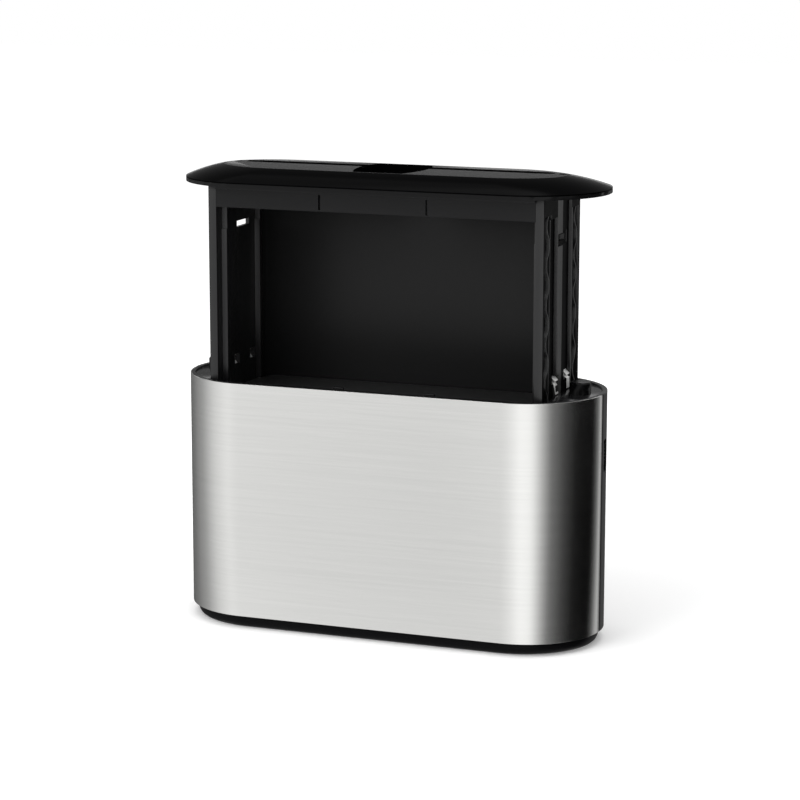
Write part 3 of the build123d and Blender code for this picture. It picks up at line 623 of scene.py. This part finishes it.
@dataclass
class Cabinet:
    """Base, steel front, rear cover, deck and posts."""

    paint: Paint
    edge: float = 0.35 * MM
    sheet_edge: float = 0.2 * MM
    foot_radius: float = 8.0 * MM
    foot_height: float = 3.0 * MM
    foot_x: float = 110.0 * MM
    foot_y: float = 30.0 * MM
    screw_head: float = 3.6 * MM
    cross_length: float = 4.2 * MM
    cross_width: float = 1.1 * MM
    cross_depth: float = 1.2 * MM
    oval_corners: int = 160
    border_hole: float = 8.0 * MM
    border_hole_levels: tuple[float, float] = (-1.0 * MM, 12.0 * MM)
    border_levels: tuple = (
        (0.4 * MM, 6.4 * MM), (1.4 * MM, 5.2 * MM), (3.2 * MM, 4.3 * MM), (5.6 * MM, 3.8 * MM),
        (9.4 * MM, 3.4 * MM),
    )
    kept: dict[str, Finish] = field(default_factory=lambda: {
        "spring_cups": SHELL_BLACK,
        "front_shell": SHELL_BLACK,
        "shaft_wall_left": SHELL_BLACK,
        "shaft_wall_right": SHELL_BLACK,
        "latch_pin_left": ZINC,
        "latch_pin_right": ZINC,
        "latch_spring_left": SPRING_STEEL,
        "latch_spring_right": SPRING_STEEL,
    })

    def build(self) -> None:
        """Dresses the plain nodes and builds the pieces that show."""
        for node, finish in self.kept.items():
            self.paint.coat(frame["nodes"][node], finish)
        shells = [
            ("steel_front_wrap", "steel", BRUSHED_STEEL, self.sheet_edge),
            ("rear_cover", "black_plastic", COVER_BLACK, self.edge),
            ("base_plinth", "gloss_black", BASE_BLACK, self.edge),
            ("shaft_front_wall", "deck_grey", DECK_GLOSS, self.edge),
            ("shaft_back_wall", "deck_grey", DECK_GLOSS, self.edge),
        ]
        for side in ("left", "right"):
            shells.append((f"deck_{side}", "deck_grey", DECK_GLOSS, self.edge))
            shells.append((f"stop_post_{side}", "black_plastic", POST_BLACK, 0.0))
        for node, slot, finish, width in shells:
            self.paint.finished(node, "cabinet", slot, finish, width)
        self.border()
        self.feet()
        self.screws()

    def border(self) -> None:
        """Models the rounded black border that closes the foot of the cabinet."""
        outer = self.oval_stack("base_border", self.border_levels)
        hole_levels = tuple((level, self.border_hole) for level in self.border_hole_levels)
        inner = self.oval_stack("border_hole", hole_levels)
        Hands.cut(outer, inner)
        Hands.soften(outer, 0.4 * MM, 3, 50.0, 35.0)
        self.paint.coat(outer, BASE_BLACK)
        Hands.mount(outer, "cabinet", "gloss_black")

    def oval_stack(self, name: str, levels: tuple) -> Piece:
        """Models a solid from oval outlines, from the lowest level up.

        Args:
            name: Name of the object.
            levels: Level and inset of each outline.

        Returns:
            The solid.
        """
        half_x, half_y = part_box("rear_cover")[1].xy
        level, inset = levels[0]
        solid = Hands.oval(name, self.oval_corners, half_x, half_y, level)
        was_x, was_y = half_x - inset, half_y - inset
        bpy.ops.transform.resize(
            value=(was_x / half_x, was_y / half_y, 1.0), center_override=(0, 0, 0),
        )
        for upper, inset in levels[1:]:
            now_x, now_y = half_x - inset, half_y - inset
            Hands.ring((0, 0, upper - level), (now_x / was_x, now_y / was_y))
            level, was_x, was_y = upper, now_x, now_y
        Hands.mode("OBJECT")
        Hands.face_out(solid)
        return solid

    def foot(self) -> Piece:
        """Models one rubber foot around its own centre.

        Returns:
            The foot, a low disc with a soft edge and a sunk middle.
        """
        Hands.clear()
        bpy.ops.mesh.primitive_cylinder_add(vertices=48, radius=self.foot_radius, depth=self.foot_height)
        foot = bpy.context.active_object
        Hands.pick(foot, "FACE", lambda face: face.normal.z < -0.9)
        bpy.ops.mesh.inset(thickness=0.7 * MM, depth=0.0)
        bpy.ops.mesh.inset(thickness=1.6 * MM, depth=0.0)
        bpy.ops.mesh.inset(thickness=0.4 * MM, depth=-0.5 * MM)
        Hands.mode("OBJECT")
        Hands.soften(foot, 0.35 * MM, 2, 50.0)
        return foot

    def feet(self) -> None:
        """Copies the foot to its four places and joins them."""
        first = self.foot()
        feet = []
        for x in (-self.foot_x, self.foot_x):
            for y in (-self.foot_y, self.foot_y):
                Hands.hold(first)
                bpy.ops.object.duplicate(linked=False)
                foot = bpy.context.active_object
                foot.location = (x, y, self.foot_height / 2)
                Hands.settle(foot)
                feet.append(foot)
        bpy.data.objects.remove(first)
        self.group(feet, "rubber_feet_finished", RUBBER, "rubber", "rubber_feet")

    def group(self, items: list, name: str, finish: Finish, slot: str, node: str) -> None:
        """Joins copies into one piece that stands for a node of the cabinet.

        Args:
            items: Objects to join.
            name: Name of the piece.
            finish: Its finish.
            slot: Material slot.
            node: CAD node that it replaces.
        """
        piece = Hands.join(items, name)
        self.paint.coat(piece, finish)
        Hands.mount(piece, "cabinet", slot, (node,))

    def screws(self) -> None:
        """Base screws with a cross recess in each head."""
        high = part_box("base_screws")[1]
        node = frame["nodes"]["base_screws"]
        xs = high.x - self.screw_head
        ys = high.y - self.screw_head
        head_top = min(v.co.z for v in node.data.vertices)
        screws = []
        for x in (-xs, xs):
            for y in (-ys, ys):
                screws.append(self.screw(x, y, head_top, high.z))
        self.group(screws, "base_screws_finished", ZINC, "screw_steel", "base_screws")

    def screw(self, x: float, y: float, z0: float, z1: float) -> Piece:
        """Models one pan head screw that points up.

        Args:
            x: Place along the length.
            y: Place along the depth.
            z0: Underside of the head.
            z1: Tip of the thread.

        Returns:
            The screw.
        """
        head = 2.2 * MM
        Hands.clear()
        bpy.ops.mesh.primitive_cylinder_add(
            vertices=32, radius=self.screw_head, depth=head, location=(x, y, z0 + head / 2),
        )
        screw = bpy.context.active_object
        Hands.settle(screw)
        Hands.pick(screw, "FACE", lambda face: face.normal.z > 0.9)
        bpy.ops.mesh.inset(thickness=self.screw_head - 1.9 * MM, depth=0.0)
        bpy.ops.mesh.extrude_region_move(TRANSFORM_OT_translate={"value": (0, 0, z1 - z0 - head)})
        Hands.mode("OBJECT")
        Hands.soften(screw, 0.5 * MM, 3, 50.0)
        for turn in (0.0, math.pi / 2):
            self.cut_slot(screw, x, y, z0, turn)
        return screw

    def cut_slot(self, screw: Piece, x: float, y: float, z0: float, turn: float) -> None:
        """Cuts one arm of the cross recess.

        Args:
            screw: Screw to cut.
            x: Place along the length.
            y: Place along the depth.
            z0: Underside of the head.
            turn: Direction of the arm.
        """
        Hands.clear()
        bpy.ops.mesh.primitive_cube_add(size=1.0, location=(x, y, z0), rotation=(0, 0, turn))
        cutter = bpy.context.active_object
        cutter.scale = (self.cross_length, self.cross_width, 2 * self.cross_depth)
        Hands.settle(cutter)
        Hands.cut(screw, cutter)


@dataclass
class Carriage:
    """Side frames, header, back panel and the lid, which slide as one."""

    paint: Paint
    edge: float = 0.35 * MM
    sunk_bands: tuple = ((-30.0 * MM, -14.0 * MM, 16.0 * MM), (-2.0 * MM, 20.0 * MM, 4.0 * MM))
    sunk_depth: float = 2.4 * MM
    strip_y: tuple[float, float] = (-14.0 * MM, -2.0 * MM)
    track_y: tuple = (-43.9 * MM, -30.1 * MM, 20.1 * MM, 36.9 * MM)
    band_top: float = 13.0 * MM
    line_y: float = -31.5 * MM
    line_width: float = 0.7 * MM
    leaf_width: float = 6.6 * MM
    leaf_thickness: float = 0.4 * MM
    leaf_front: tuple = (-12.0 * MM, (125.4 * MM, 0.1945), (127.2 * MM, 0.1915), (128.25 * MM, 0.1850))
    leaf_rear: tuple = (
        15.0 * MM, (125.0 * MM, 0.1988), (125.8 * MM, 0.1940), (128.2 * MM, 0.1925), (128.25 * MM, 0.1850),
    )

    def build(self) -> None:
        """Builds every piece of the carriage."""
        for name, side in (("left", -1), ("right", 1)):
            self.side_frame(name, side)
            self.paint.coat(frame["nodes"][f"brake_clips_{name}"], CLIP_STEEL)
        parts = (("front_header", HEADER_BLACK, self.edge), ("back_panel", PANEL_BLACK, self.edge),
                 ("lid_pan", LID_SATIN, 0.0))
        for node, finish, width in parts:
            self.paint.finished(node, "carriage", "black_plastic", finish, width, 45.0)
        self.paint.coat(frame["nodes"]["lid_screws"], ZINC)
        LidCover(self.paint).build()

    def side_frame(self, name: str, side: int) -> None:
        """Makes a side frame with the deep band beside its raised strip.

        Args:
            name: Left or right.
            side: Sign of the side.
        """
        piece = Hands.finish_copy(f"side_frame_{name}", f"side_frame_{name}_finished")
        low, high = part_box(f"side_frame_{name}")
        outer = side * max(abs(low.x), abs(high.x))
        xs = sorted((outer - side * self.sunk_depth, outer + side * 2 * MM))
        for front, back, gap in self.sunk_bands:
            cutter = Hands.block((xs[0], front, low.z - 2 * MM), (xs[1], back, high.z - gap))
            Hands.cut(piece, cutter)
        Hands.soften(piece, 0.2 * MM, 2, 45.0)
        self.split(piece, high.z)
        self.paint.coat(piece, FRAME_BLACK)
        # Painted shade: the sunk bands, the channel floors and the plain outer faces beyond the strip and the
        # wavy ribs get the darker, nearly unreflecting black.
        self.paint.second(piece, TRACK_PAINTED_SHADE, lambda face: self.gets_painted_shade(face, outer, side, high.z))
        Hands.mount(piece, "carriage", "black_plastic", (f"side_frame_{name}",))
        self.plain_line(name, outer, side, low.z, high.z - self.sunk_bands[0][2])
        for place, profile in (("front", self.leaf_front), ("rear", self.leaf_rear)):
            self.leaf(f"leaf_{place}_{name}", side, profile)

    def split(self, piece: Piece, top: float) -> None:
        """Splits the outside of a side frame where the painted shade on it starts and stops.

        Args:
            piece: Side frame.
            top: Its upper end.
        """
        Hands.slice(piece, 1, (*self.strip_y, *self.track_y))
        Hands.slice(piece, 2, (top - self.band_top,))

    def gets_painted_shade(self, face: Face, outer: float, side: int, top: float) -> bool:
        """Whether a face on the outside of a side frame gets the painted shade, a darker and nearly
        unreflecting black.

        The raised strip and the wavy ribs keep the brighter one.

        Args:
            face: Face of the side frame.
            outer: Outer face of the side frame.
            side: Sign of the side.
            top: Upper end of the side frame.

        Returns:
            True for a face with the painted shade.
        """
        if face.normal.x * side < 0.7:
            return False
        depth = abs(outer) - abs(face.center.x)
        y = face.center.y
        if depth > 4.0 * MM:
            return False
        # Faces sunk into a band or channel get the painted shade.
        if depth > 1.0 * MM:
            return True
        low, high = self.strip_y
        if low < y < high:
            return False
        front_low, front_high, rear_low, rear_high = self.track_y
        on_wave = front_low < y < front_high or rear_low < y < rear_high
        return not (on_wave and face.center.z < top - self.band_top)

    def plain_line(self, name: str, outer: float, side: int, z0: float, z1: float) -> None:
        """Models the thin straight rib beside the wavy one.

        Args:
            name: Left or right.
            outer: Outer face of the side frame.
            side: Sign of the side.
            z0: Its lower end.
            z1: Its upper end.
        """
        half = self.line_width / 2
        xs = sorted((outer - side * (self.sunk_depth + 0.3 * MM), outer))
        rib = Hands.block((xs[0], self.line_y - half, z0), (xs[1], self.line_y + half, z1))
        rib.name = f"track_line_{name}"
        Hands.soften(rib, 0.15 * MM, 2, 30.0)
        self.paint.coat(rib, FRAME_BLACK)
        Hands.mount(rib, "carriage", "black_plastic")

    def leaf(self, name: str, side: int, profile: tuple) -> None:
        """Models a bent spring leaf that shows beside the frame just above the rim.

        Args:
            name: Name of the piece.
            side: Sign of the side.
            profile: Middle place along the depth, then corners as distance out and level.
        """
        y, corners = profile[0], profile[1:]
        half = self.leaf_width / 2
        z0, z1 = corners[-1][1], corners[0][1]
        leaf = Hands.block((0.0, y - half, z0), (self.leaf_thickness, y + half, z1))
        leaf.name = name
        Hands.slice(leaf, 2, tuple(level for _, level in corners[1:-1]))
        for corner in leaf.data.vertices:
            out = min(corners, key=lambda c: abs(c[1] - corner.co.z))[0]
            corner.co.x = side * (out - self.leaf_thickness + corner.co.x)
        if side < 0:
            Hands.face_out(leaf)
        Hands.soften(leaf, 0.12 * MM, 2, 60.0)
        self.paint.coat(leaf, CLIP_STEEL)
        Hands.mount(leaf, "carriage", "spring_steel")


@dataclass
class LidCover:
    """Domed lid cover with its towel recess, the shallow channel and two dimples."""

    paint: Paint
    corners: int = 128
    steps: int = 9
    end_run: float = 30.0 * MM
    flat_front_y: float = -39.0 * MM
    flat_back_y: float = 24.0 * MM
    upright: float = 0.6 * MM
    bulge: float = 0.38
    recess_depth: float = 5.8 * MM
    recess_cuts: int = 11
    throat_round: float = 9.0 * MM
    recess_half: tuple[float, float, float] = (18.5 * MM, 26.0 * MM, 20.0 * MM)
    recess_y: tuple[float, float, float] = (-37.8 * MM, -2.0 * MM, 22.8 * MM)
    throat_half_x: float = 18.0 * MM
    throat_y: tuple[float, float] = (-31.0 * MM, 20.5 * MM)
    channel_half_x: float = 119.5 * MM
    channel_y: tuple[float, float] = (-0.4 * MM, 10.4 * MM)
    channel_depth: float = 1.4 * MM
    dimple_x: float = 127.0 * MM
    dimple_y: float = 3.0 * MM
    dimple_radius: float = 4.3 * MM
    dimple_depth: float = 1.8 * MM

    def build(self) -> None:
        """Builds the cover and mounts it on the carriage."""
        low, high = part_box("lid_cover")
        cover = self.dome(low, high)
        Hands.cut(cover, self.recess(high.z))
        Hands.cut(cover, self.throat(low.z, high.z))
        Hands.cut(cover, self.channel(high.z))
        for x in (-self.dimple_x, self.dimple_x):
            Hands.cut(cover, self.dimple(x, high.z))
        Hands.soften(cover, 0.3 * MM, 2, 30.0, 11.0)
        self.paint.coat(cover, LID_GLOSS)
        Hands.mount(cover, "carriage", "gloss_black", ("lid_cover",))

    def dome(self, low: Vector, high: Vector) -> Piece:
        """Raises the dome from its oval outline ring by ring.

        Args:
            low: Lowest corner of the cover.
            high: Highest corner of the cover.

        Returns:
            The closed dome.
        """
        cover = Hands.oval("lid_cover_finished", self.corners, high.x, high.y, low.z)
        bpy.ops.mesh.extrude_region_move(TRANSFORM_OT_translate={"value": (0, 0, self.upright)})
        self.raise_rings(high.x, high.y, high.z - low.z - self.upright)
        Hands.mode("OBJECT")
        Hands.face_out(cover)
        return cover

    def raise_rings(self, half_x: float, half_y: float, rise: float) -> None:
        """Extrudes the sloped border in steps, each a little smaller and higher.

        Args:
            half_x: Half length of the outline.
            half_y: Half depth of the outline.
            rise: Height of the slope.
        """
        end_x = 1 - self.end_run / half_x
        end_y = (self.flat_back_y - self.flat_front_y) / (2 * half_y)
        shift = (self.flat_back_y + self.flat_front_y) / 2
        was_x, was_y, was_c, was_h = 1.0, 1.0, 0.0, 0.0
        for i in range(1, self.steps + 1):
            t = i / self.steps
            now_x = 1 + (end_x - 1) * t
            now_y = 1 + (end_y - 1) * t
            centre = shift * t
            height = rise * (t + self.bulge * t * (1 - t))
            Hands.ring((0, centre - was_c, height - was_h), (now_x / was_x, now_y / was_y), centre)
            was_x, was_y, was_c, was_h = now_x, now_y, centre, height

    def recess(self, top: float) -> Piece:
        """Cutter of the towel recess, widest in the middle.

        Args:
            top: Highest level of the lid.

        Returns:
            The cutter.
        """
        front, middle, back = self.recess_y
        tool = Hands.block((-1.0 * MM, front, top - self.recess_depth), (1.0 * MM, back, top + 4 * MM))
        parts = self.recess_cuts + 1
        Hands.slice(tool, 1, tuple(front + (back - front) * i / parts for i in range(1, parts)))
        for corner in tool.data.vertices:
            corner.co.x = math.copysign(self.half_width(corner.co.y), corner.co.x)
        return tool

    def half_width(self, y: float) -> float:
        """Half width of the recess at a depth, on a smooth line through its three sizes."""
        front, middle, back = self.recess_y
        near, wide, far = self.recess_half
        t = (y - middle) / (front - middle) if y < middle else (y - middle) / (back - middle)
        end = near if y < middle else far
        return wide + (end - wide) * t * t

    def throat(self, low: float, top: float) -> Piece:
        """Cutter of the opening that the towels come through.

        Args:
            low: Underside of the cover.
            top: Highest level of the lid.

        Returns:
            The cutter.
        """
        x = self.throat_half_x
        tool = Hands.block((-x, self.throat_y[0], low - 2 * MM), (x, self.throat_y[1], top))
        upright = tool.modifiers.new("corner_round", "BEVEL")
        upright.width = self.throat_round
        upright.segments = 8
        upright.limit_method = "ANGLE"
        Hands.hold(tool)
        bpy.ops.object.modifier_apply(modifier=upright.name)
        return tool

    def channel(self, top: float) -> Piece:
        """Cutter of the shallow channel with round ends.

        Args:
            top: Highest level of the lid.

        Returns:
            The cutter.
        """
        x = self.channel_half_x
        front, back = self.channel_y
        tool = Hands.block((-x, front, top - self.channel_depth), (x, back, top + 2 * MM))
        Hands.pick(tool, "EDGE", lambda edge: self.is_upright(tool, edge))
        bpy.ops.mesh.bevel(offset=(back - front) * 0.45, segments=8)
        Hands.mode("OBJECT")
        return tool

    @staticmethod
    def is_upright(piece: Piece, edge: bpy.types.MeshEdge) -> bool:
        """Whether an edge of a piece runs up and down."""
        first, second = (piece.data.vertices[i].co for i in edge.vertices)
        return abs(first.z - second.z) > 1 * MM

    def dimple(self, x: float, top: float) -> Piece:
        """Cutter of a finger dimple.

        Args:
            x: Its place along the length.
            top: Highest level of the lid.

        Returns:
            The cutter.
        """
        Hands.clear()
        bpy.ops.mesh.primitive_cylinder_add(
            vertices=40, radius=self.dimple_radius, depth=2 * self.dimple_depth,
            location=(x, self.dimple_y, top),
        )
        tool = bpy.context.active_object
        Hands.settle(tool)
        Hands.pick(tool, "FACE", lambda face: face.normal.z < -0.9)
        bpy.ops.transform.resize(value=(0.8, 0.8, 1.0), center_override=(x, self.dimple_y, top))
        Hands.mode("OBJECT")
        return tool


@dataclass
class Platform:
    """The spring loaded plate that lifts the towels."""

    paint: Paint
    travel: float = 135.0 * MM
    lug_x: float = 35.5 * MM
    lug_y: float = -24.0 * MM
    lug_size: Triple = (10.0 * MM, 3.0 * MM, 6.0 * MM)

    def build(self) -> None:
        """Builds the plate with its two low lugs and dresses the pads."""
        self.paint.finished("towel_platform", "platform", "platform_plastic", PLATFORM_BLACK, 0.0)
        self.paint.coat(frame["nodes"]["platform_pads"], PAD_GREY)
        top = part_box("towel_platform")[1].z
        for name, x in (("left", -self.lug_x), ("right", self.lug_x)):
            self.lug(f"platform_lug_{name}", x, top)
            self.spring(name)

    def spring(self, name: str) -> None:
        """Makes a lift spring that rides on the cabinet, with a mesh of its own.

        Args:
            name: Left or right.
        """
        piece = self.paint.finished(f"lift_spring_{name}", "cabinet", "spring_steel", SPRING_STEEL, 0.0)
        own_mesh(piece)

    def lug(self, name: str, x: float, top: float) -> None:
        """Models a low rounded lug on top of the plate.

        Args:
            name: Name of the piece.
            x: Its place along the length.
            top: Upper face of the plate.
        """
        width, depth, height = self.lug_size
        Hands.clear()
        bpy.ops.mesh.primitive_cube_add(size=1.0, location=(x, self.lug_y, top + height / 2))
        lug = bpy.context.active_object
        lug.name = name
        lug.scale = (width, depth, height)
        Hands.settle(lug)
        Hands.pick(lug, "FACE", lambda face: face.normal.z > 0.9)
        bpy.ops.transform.resize(value=(0.8, 0.6, 1.0), center_override=(x, self.lug_y, top + height))
        Hands.mode("OBJECT")
        Hands.soften(lug, 0.6 * MM, 3, 30.0)
        self.paint.coat(lug, POST_BLACK)
        Hands.mount(lug, "platform", "platform_plastic")


@dataclass
class Latches:
    """The two rocker latches with their push buttons."""

    paint: Paint
    edge: float = 0.4 * MM
    button_middle: float = 8.0 * MM
    rib_count: int = 4
    rib_pitch: float = 2.6 * MM
    rib_size: Triple = (0.5 * MM, 6.4 * MM, 0.9 * MM)

    def build(self) -> None:
        """Builds both rockers."""
        for name, side in (("left", -1), ("right", 1)):
            self.paint.finished(
                f"latch_{name}", f"latch_{name}_body", "latch_plastic", LATCH_BLACK, self.edge, 45.0,
            )
            self.grip(name, side)

    def grip(self, name: str, side: int) -> None:
        """Models the fine ribs on the face of a button.

        Args:
            name: Left or right.
            side: Sign of the side.
        """
        low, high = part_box(f"latch_{name}")
        face_x = high.x if side > 0 else low.x
        middle_z = low.z + self.button_middle
        y = (low.y + high.y) / 2
        ribs = []
        for i in range(self.rib_count):
            z = middle_z + (i - (self.rib_count - 1) / 2) * self.rib_pitch
            Hands.clear()
            bpy.ops.mesh.primitive_cube_add(size=1.0, location=(face_x + side * self.rib_size[0] / 2, y, z))
            rib = bpy.context.active_object
            rib.scale = self.rib_size
            Hands.settle(rib)
            Hands.soften(rib, 0.2 * MM, 2, 30.0)
            ribs.append(rib)
        piece = Hands.join(ribs, f"latch_grip_{name}")
        self.paint.coat(piece, LATCH_BLACK)
        Hands.mount(piece, f"latch_{name}_body", "latch_plastic")


@dataclass
class Studio:
    """Floor, lamps, reflection cards, world and camera."""

    lens: float = 121.466
    sensor: float = 36.0
    distance: float = 1.99144
    azimuth: float = 20.584
    elevation: float = 11.065
    roll: float = 0.075
    target: Triple = (0.003588, 0.0, 0.169728)
    floor_size: float = 12.0
    sky_diffuse: float = 0.6
    glow_from: float = 0.2
    glow_full: float = 1.1
    glow_near: float = 0.16
    glow_far: float = 0.48
    flag_tone: float = 0.28
    wrap_radius: float = 0.5
    wrap_top: float = 0.33
    wrap_bottom: float = -0.4
    wrap_tones: tuple = (
        (-180, 0.20), (-128, 0.12), (-108, 0.2), (-84, 0.42), (-64, 0.84), (-46, 1.04), (-30, 0.92),
        (-8, 0.86), (10, 1.06), (22, 1.28), (36, 1.22), (48, 0.6), (58, 0.2), (74, 0.06), (88, 0.01),
        (116, 0.0), (124, 0.12),
        (134, 0.62), (150, 0.24), (180, 0.20),
    )

    def build(self) -> None:
        """Sets up everything around the object."""
        self.world()
        self.floor()
        self.tone_wrap()
        self.lid_flag()
        self.lamp("key", (-0.7, -1.1, 1.5), 1.3, 15.0)
        self.lamp("top", (0.15, 0.1, 1.6), 1.4, 11.0)
        self.camera()

    def world(self) -> None:
        """Soft even sky for the object, plain white for the camera, metal and glass."""
        world = bpy.data.worlds.new("soft_sky")
        world.use_nodes = True
        bpy.context.scene.world = world
        bench = NodeBench(world.node_tree)
        sky = world.node_tree.nodes["Background"]
        sky.inputs["Color"].default_value = (1.0, 1.0, 1.0, 1.0)
        seen = self.seen_directly(bench)
        extra = bench.math("MULTIPLY", seen, 1.0 - self.sky_diffuse)
        bench.join(bench.math("ADD", extra, self.sky_diffuse), sky.inputs["Strength"])

    @staticmethod
    def seen_directly(bench: NodeBench) -> Socket:
        """One for camera, glossy and transmission rays, and zero for the rest.

        Args:
            bench: Tree to work in.

        Returns:
            The factor socket.
        """
        path = bench.add("ShaderNodeLightPath").outputs
        seen = bench.math("MAXIMUM", path["Is Camera Ray"], path["Is Glossy Ray"])
        return bench.math("MAXIMUM", seen, path["Is Transmission Ray"])

    @staticmethod
    def glowing(name: str) -> tuple:
        """A material with an emission in place of its usual shader.

        Args:
            name: Name of the material.

        Returns:
            The material, its bench, its emission node and its surface socket.
        """
        material = bpy.data.materials.new(name)
        material.use_nodes = True
        tree = material.node_tree
        tree.nodes.remove(tree.nodes["Principled BSDF"])
        bench = NodeBench(tree)
        glow = bench.add("ShaderNodeEmission")
        return material, bench, glow, tree.nodes["Material Output"].inputs["Surface"]

    def floor(self) -> None:
        """Plain pale floor that keeps the soft shadow."""
        Hands.clear()
        bpy.ops.mesh.primitive_plane_add(size=self.floor_size)
        floor = bpy.context.active_object
        floor.name = "floor"
        material, bench, glow, surface = self.glowing("floor_white")
        matte = bench.add("ShaderNodeBsdfDiffuse")
        matte.inputs["Color"].default_value = (0.96, 0.96, 0.96, 1.0)
        reach = bench.add("ShaderNodeVectorMath", operation="LENGTH")
        bench.join(bench.add("ShaderNodeTexCoord").outputs["Object"], reach.inputs[0])
        ease = bench.add("ShaderNodeMapRange", interpolation_type="SMOOTHSTEP")
        bench.join(reach.outputs["Value"], ease.inputs["Value"])
        ease.inputs["From Min"].default_value = self.glow_from
        ease.inputs["From Max"].default_value = self.glow_full
        ease.inputs["To Min"].default_value = self.glow_near
        ease.inputs["To Max"].default_value = self.glow_far
        shown = bench.math("MULTIPLY", self.seen_directly(bench), ease.outputs["Result"])
        bench.join(shown, glow.inputs["Strength"])
        both = bench.add("ShaderNodeAddShader")
        bench.join(matte.outputs[0], both.inputs[0])
        bench.join(glow.outputs[0], both.inputs[1])
        bench.join(both.outputs[0], surface)
        floor.data.materials.append(material)
        floor.visible_glossy = False

    @staticmethod
    def only_reflected(card: Piece) -> None:
        """Lets a card show in reflections only, and marks it as stage."""
        card.visible_camera = False
        card.visible_diffuse = False
        card.visible_shadow = False
        card.visible_transmission = False

    def tone_wrap(self) -> None:
        """Low ring of light and dark cards that shapes the reflections in the steel."""
        Hands.clear()
        bpy.ops.mesh.primitive_cylinder_add(
            vertices=96, radius=self.wrap_radius, depth=self.wrap_top - self.wrap_bottom,
            end_fill_type="NOTHING", location=(0, 0, (self.wrap_top + self.wrap_bottom) / 2),
        )
        ring = bpy.context.active_object
        ring.name = "card_ring"
        Hands.settle(ring)
        material, bench, glow, surface = self.glowing("card_tones")
        turn = bench.add("ShaderNodeMapping")
        turn.inputs["Rotation"].default_value = (0, 0, math.pi / 2)
        bench.join(bench.add("ShaderNodeTexCoord").outputs["Object"], turn.inputs["Vector"])
        sweep = bench.add("ShaderNodeTexGradient", gradient_type="RADIAL")
        bench.join(turn.outputs[0], sweep.inputs["Vector"])
        ramp = bench.add("ShaderNodeValToRGB")
        stops = ramp.color_ramp.elements
        while len(stops) > 1:
            stops.remove(stops[0])
        for i, (angle, tone) in enumerate(self.wrap_tones):
            place = (angle + 180) / 360
            stop = stops[0] if i == 0 else stops.new(place)
            stop.position = place
            stop.color = (tone, tone, tone, 1.0)
        bench.join(sweep.outputs["Fac"], ramp.inputs["Fac"])
        bench.join(ramp.outputs["Color"], glow.inputs["Color"])
        bench.join(glow.outputs[0], surface)
        ring.data.materials.append(material)
        self.only_reflected(ring)

    def lid_flag(self) -> None:
        """Dark grey card behind the lid, which keeps the reflection in its top dark."""
        Hands.clear()
        bpy.ops.mesh.primitive_plane_add(size=1.0, location=(-0.1, 0.3, 0.6), rotation=(math.pi / 2, 0, 0))
        card = bpy.context.active_object
        card.name = "lid_flag"
        card.scale = (1.6, 0.48, 1.0)
        Hands.settle(card)
        material, bench, glow, surface = self.glowing("flag_black")
        glow.inputs["Color"].default_value = (*(self.flag_tone,) * 3, 1.0)
        bench.join(glow.outputs[0], surface)
        card.data.materials.append(material)
        self.only_reflected(card)

    @staticmethod
    def lamp(name: str, place: Triple, size: float, power: float) -> None:
        """Adds a large soft lamp that points at the object.

        Args:
            name: Name of the lamp.
            place: Its place.
            size: Side of its square panel.
            power: Power in watts.
        """
        data = bpy.data.lights.new(name, "AREA")
        data.size = size
        data.energy = power
        lamp = bpy.data.objects.new(name, data)
        bpy.context.scene.collection.objects.link(lamp)
        lamp.location = place
        aim = Vector((0, 0, 0.15)) - Vector(place)
        lamp.rotation_euler = aim.to_track_quat("-Z", "Y").to_euler()

    def camera(self) -> None:
        """Camera at the photograph's place and angle."""
        az = math.radians(self.azimuth)
        el = math.radians(self.elevation)
        roll = math.radians(self.roll)
        back = Vector((math.sin(az) * math.cos(el), -math.cos(az) * math.cos(el), math.sin(el)))
        right = (-back).cross(Vector((0, 0, 1))).normalized()
        up = right.cross(-back)
        tilted_right = math.cos(roll) * right + math.sin(roll) * up
        tilted_up = math.cos(roll) * up - math.sin(roll) * right
        data = bpy.data.cameras.new("camera")
        data.sensor_width = self.sensor
        data.lens = self.lens
        camera = bpy.data.objects.new("camera", data)
        bpy.context.scene.collection.objects.link(camera)
        turn = Matrix((tilted_right, tilted_up, back)).transposed()
        camera.matrix_world = Matrix.Translation(Vector(self.target) + self.distance * back) @ turn.to_4x4()
        bpy.context.scene.camera = camera


def main() -> None:
    """Builds the sub-assemblies in order, then the studio."""
    logging.basicConfig(level=logging.INFO, format="%(name)s: %(message)s")
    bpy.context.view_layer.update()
    paint = Paint()
    for assembly in (Cabinet(paint), Carriage(paint), Platform(paint), Latches(paint)):
        assembly.build()
    Studio().build()
    bpy.context.scene.view_settings.view_transform = "Standard"


if __name__ == "__main__":
    main()
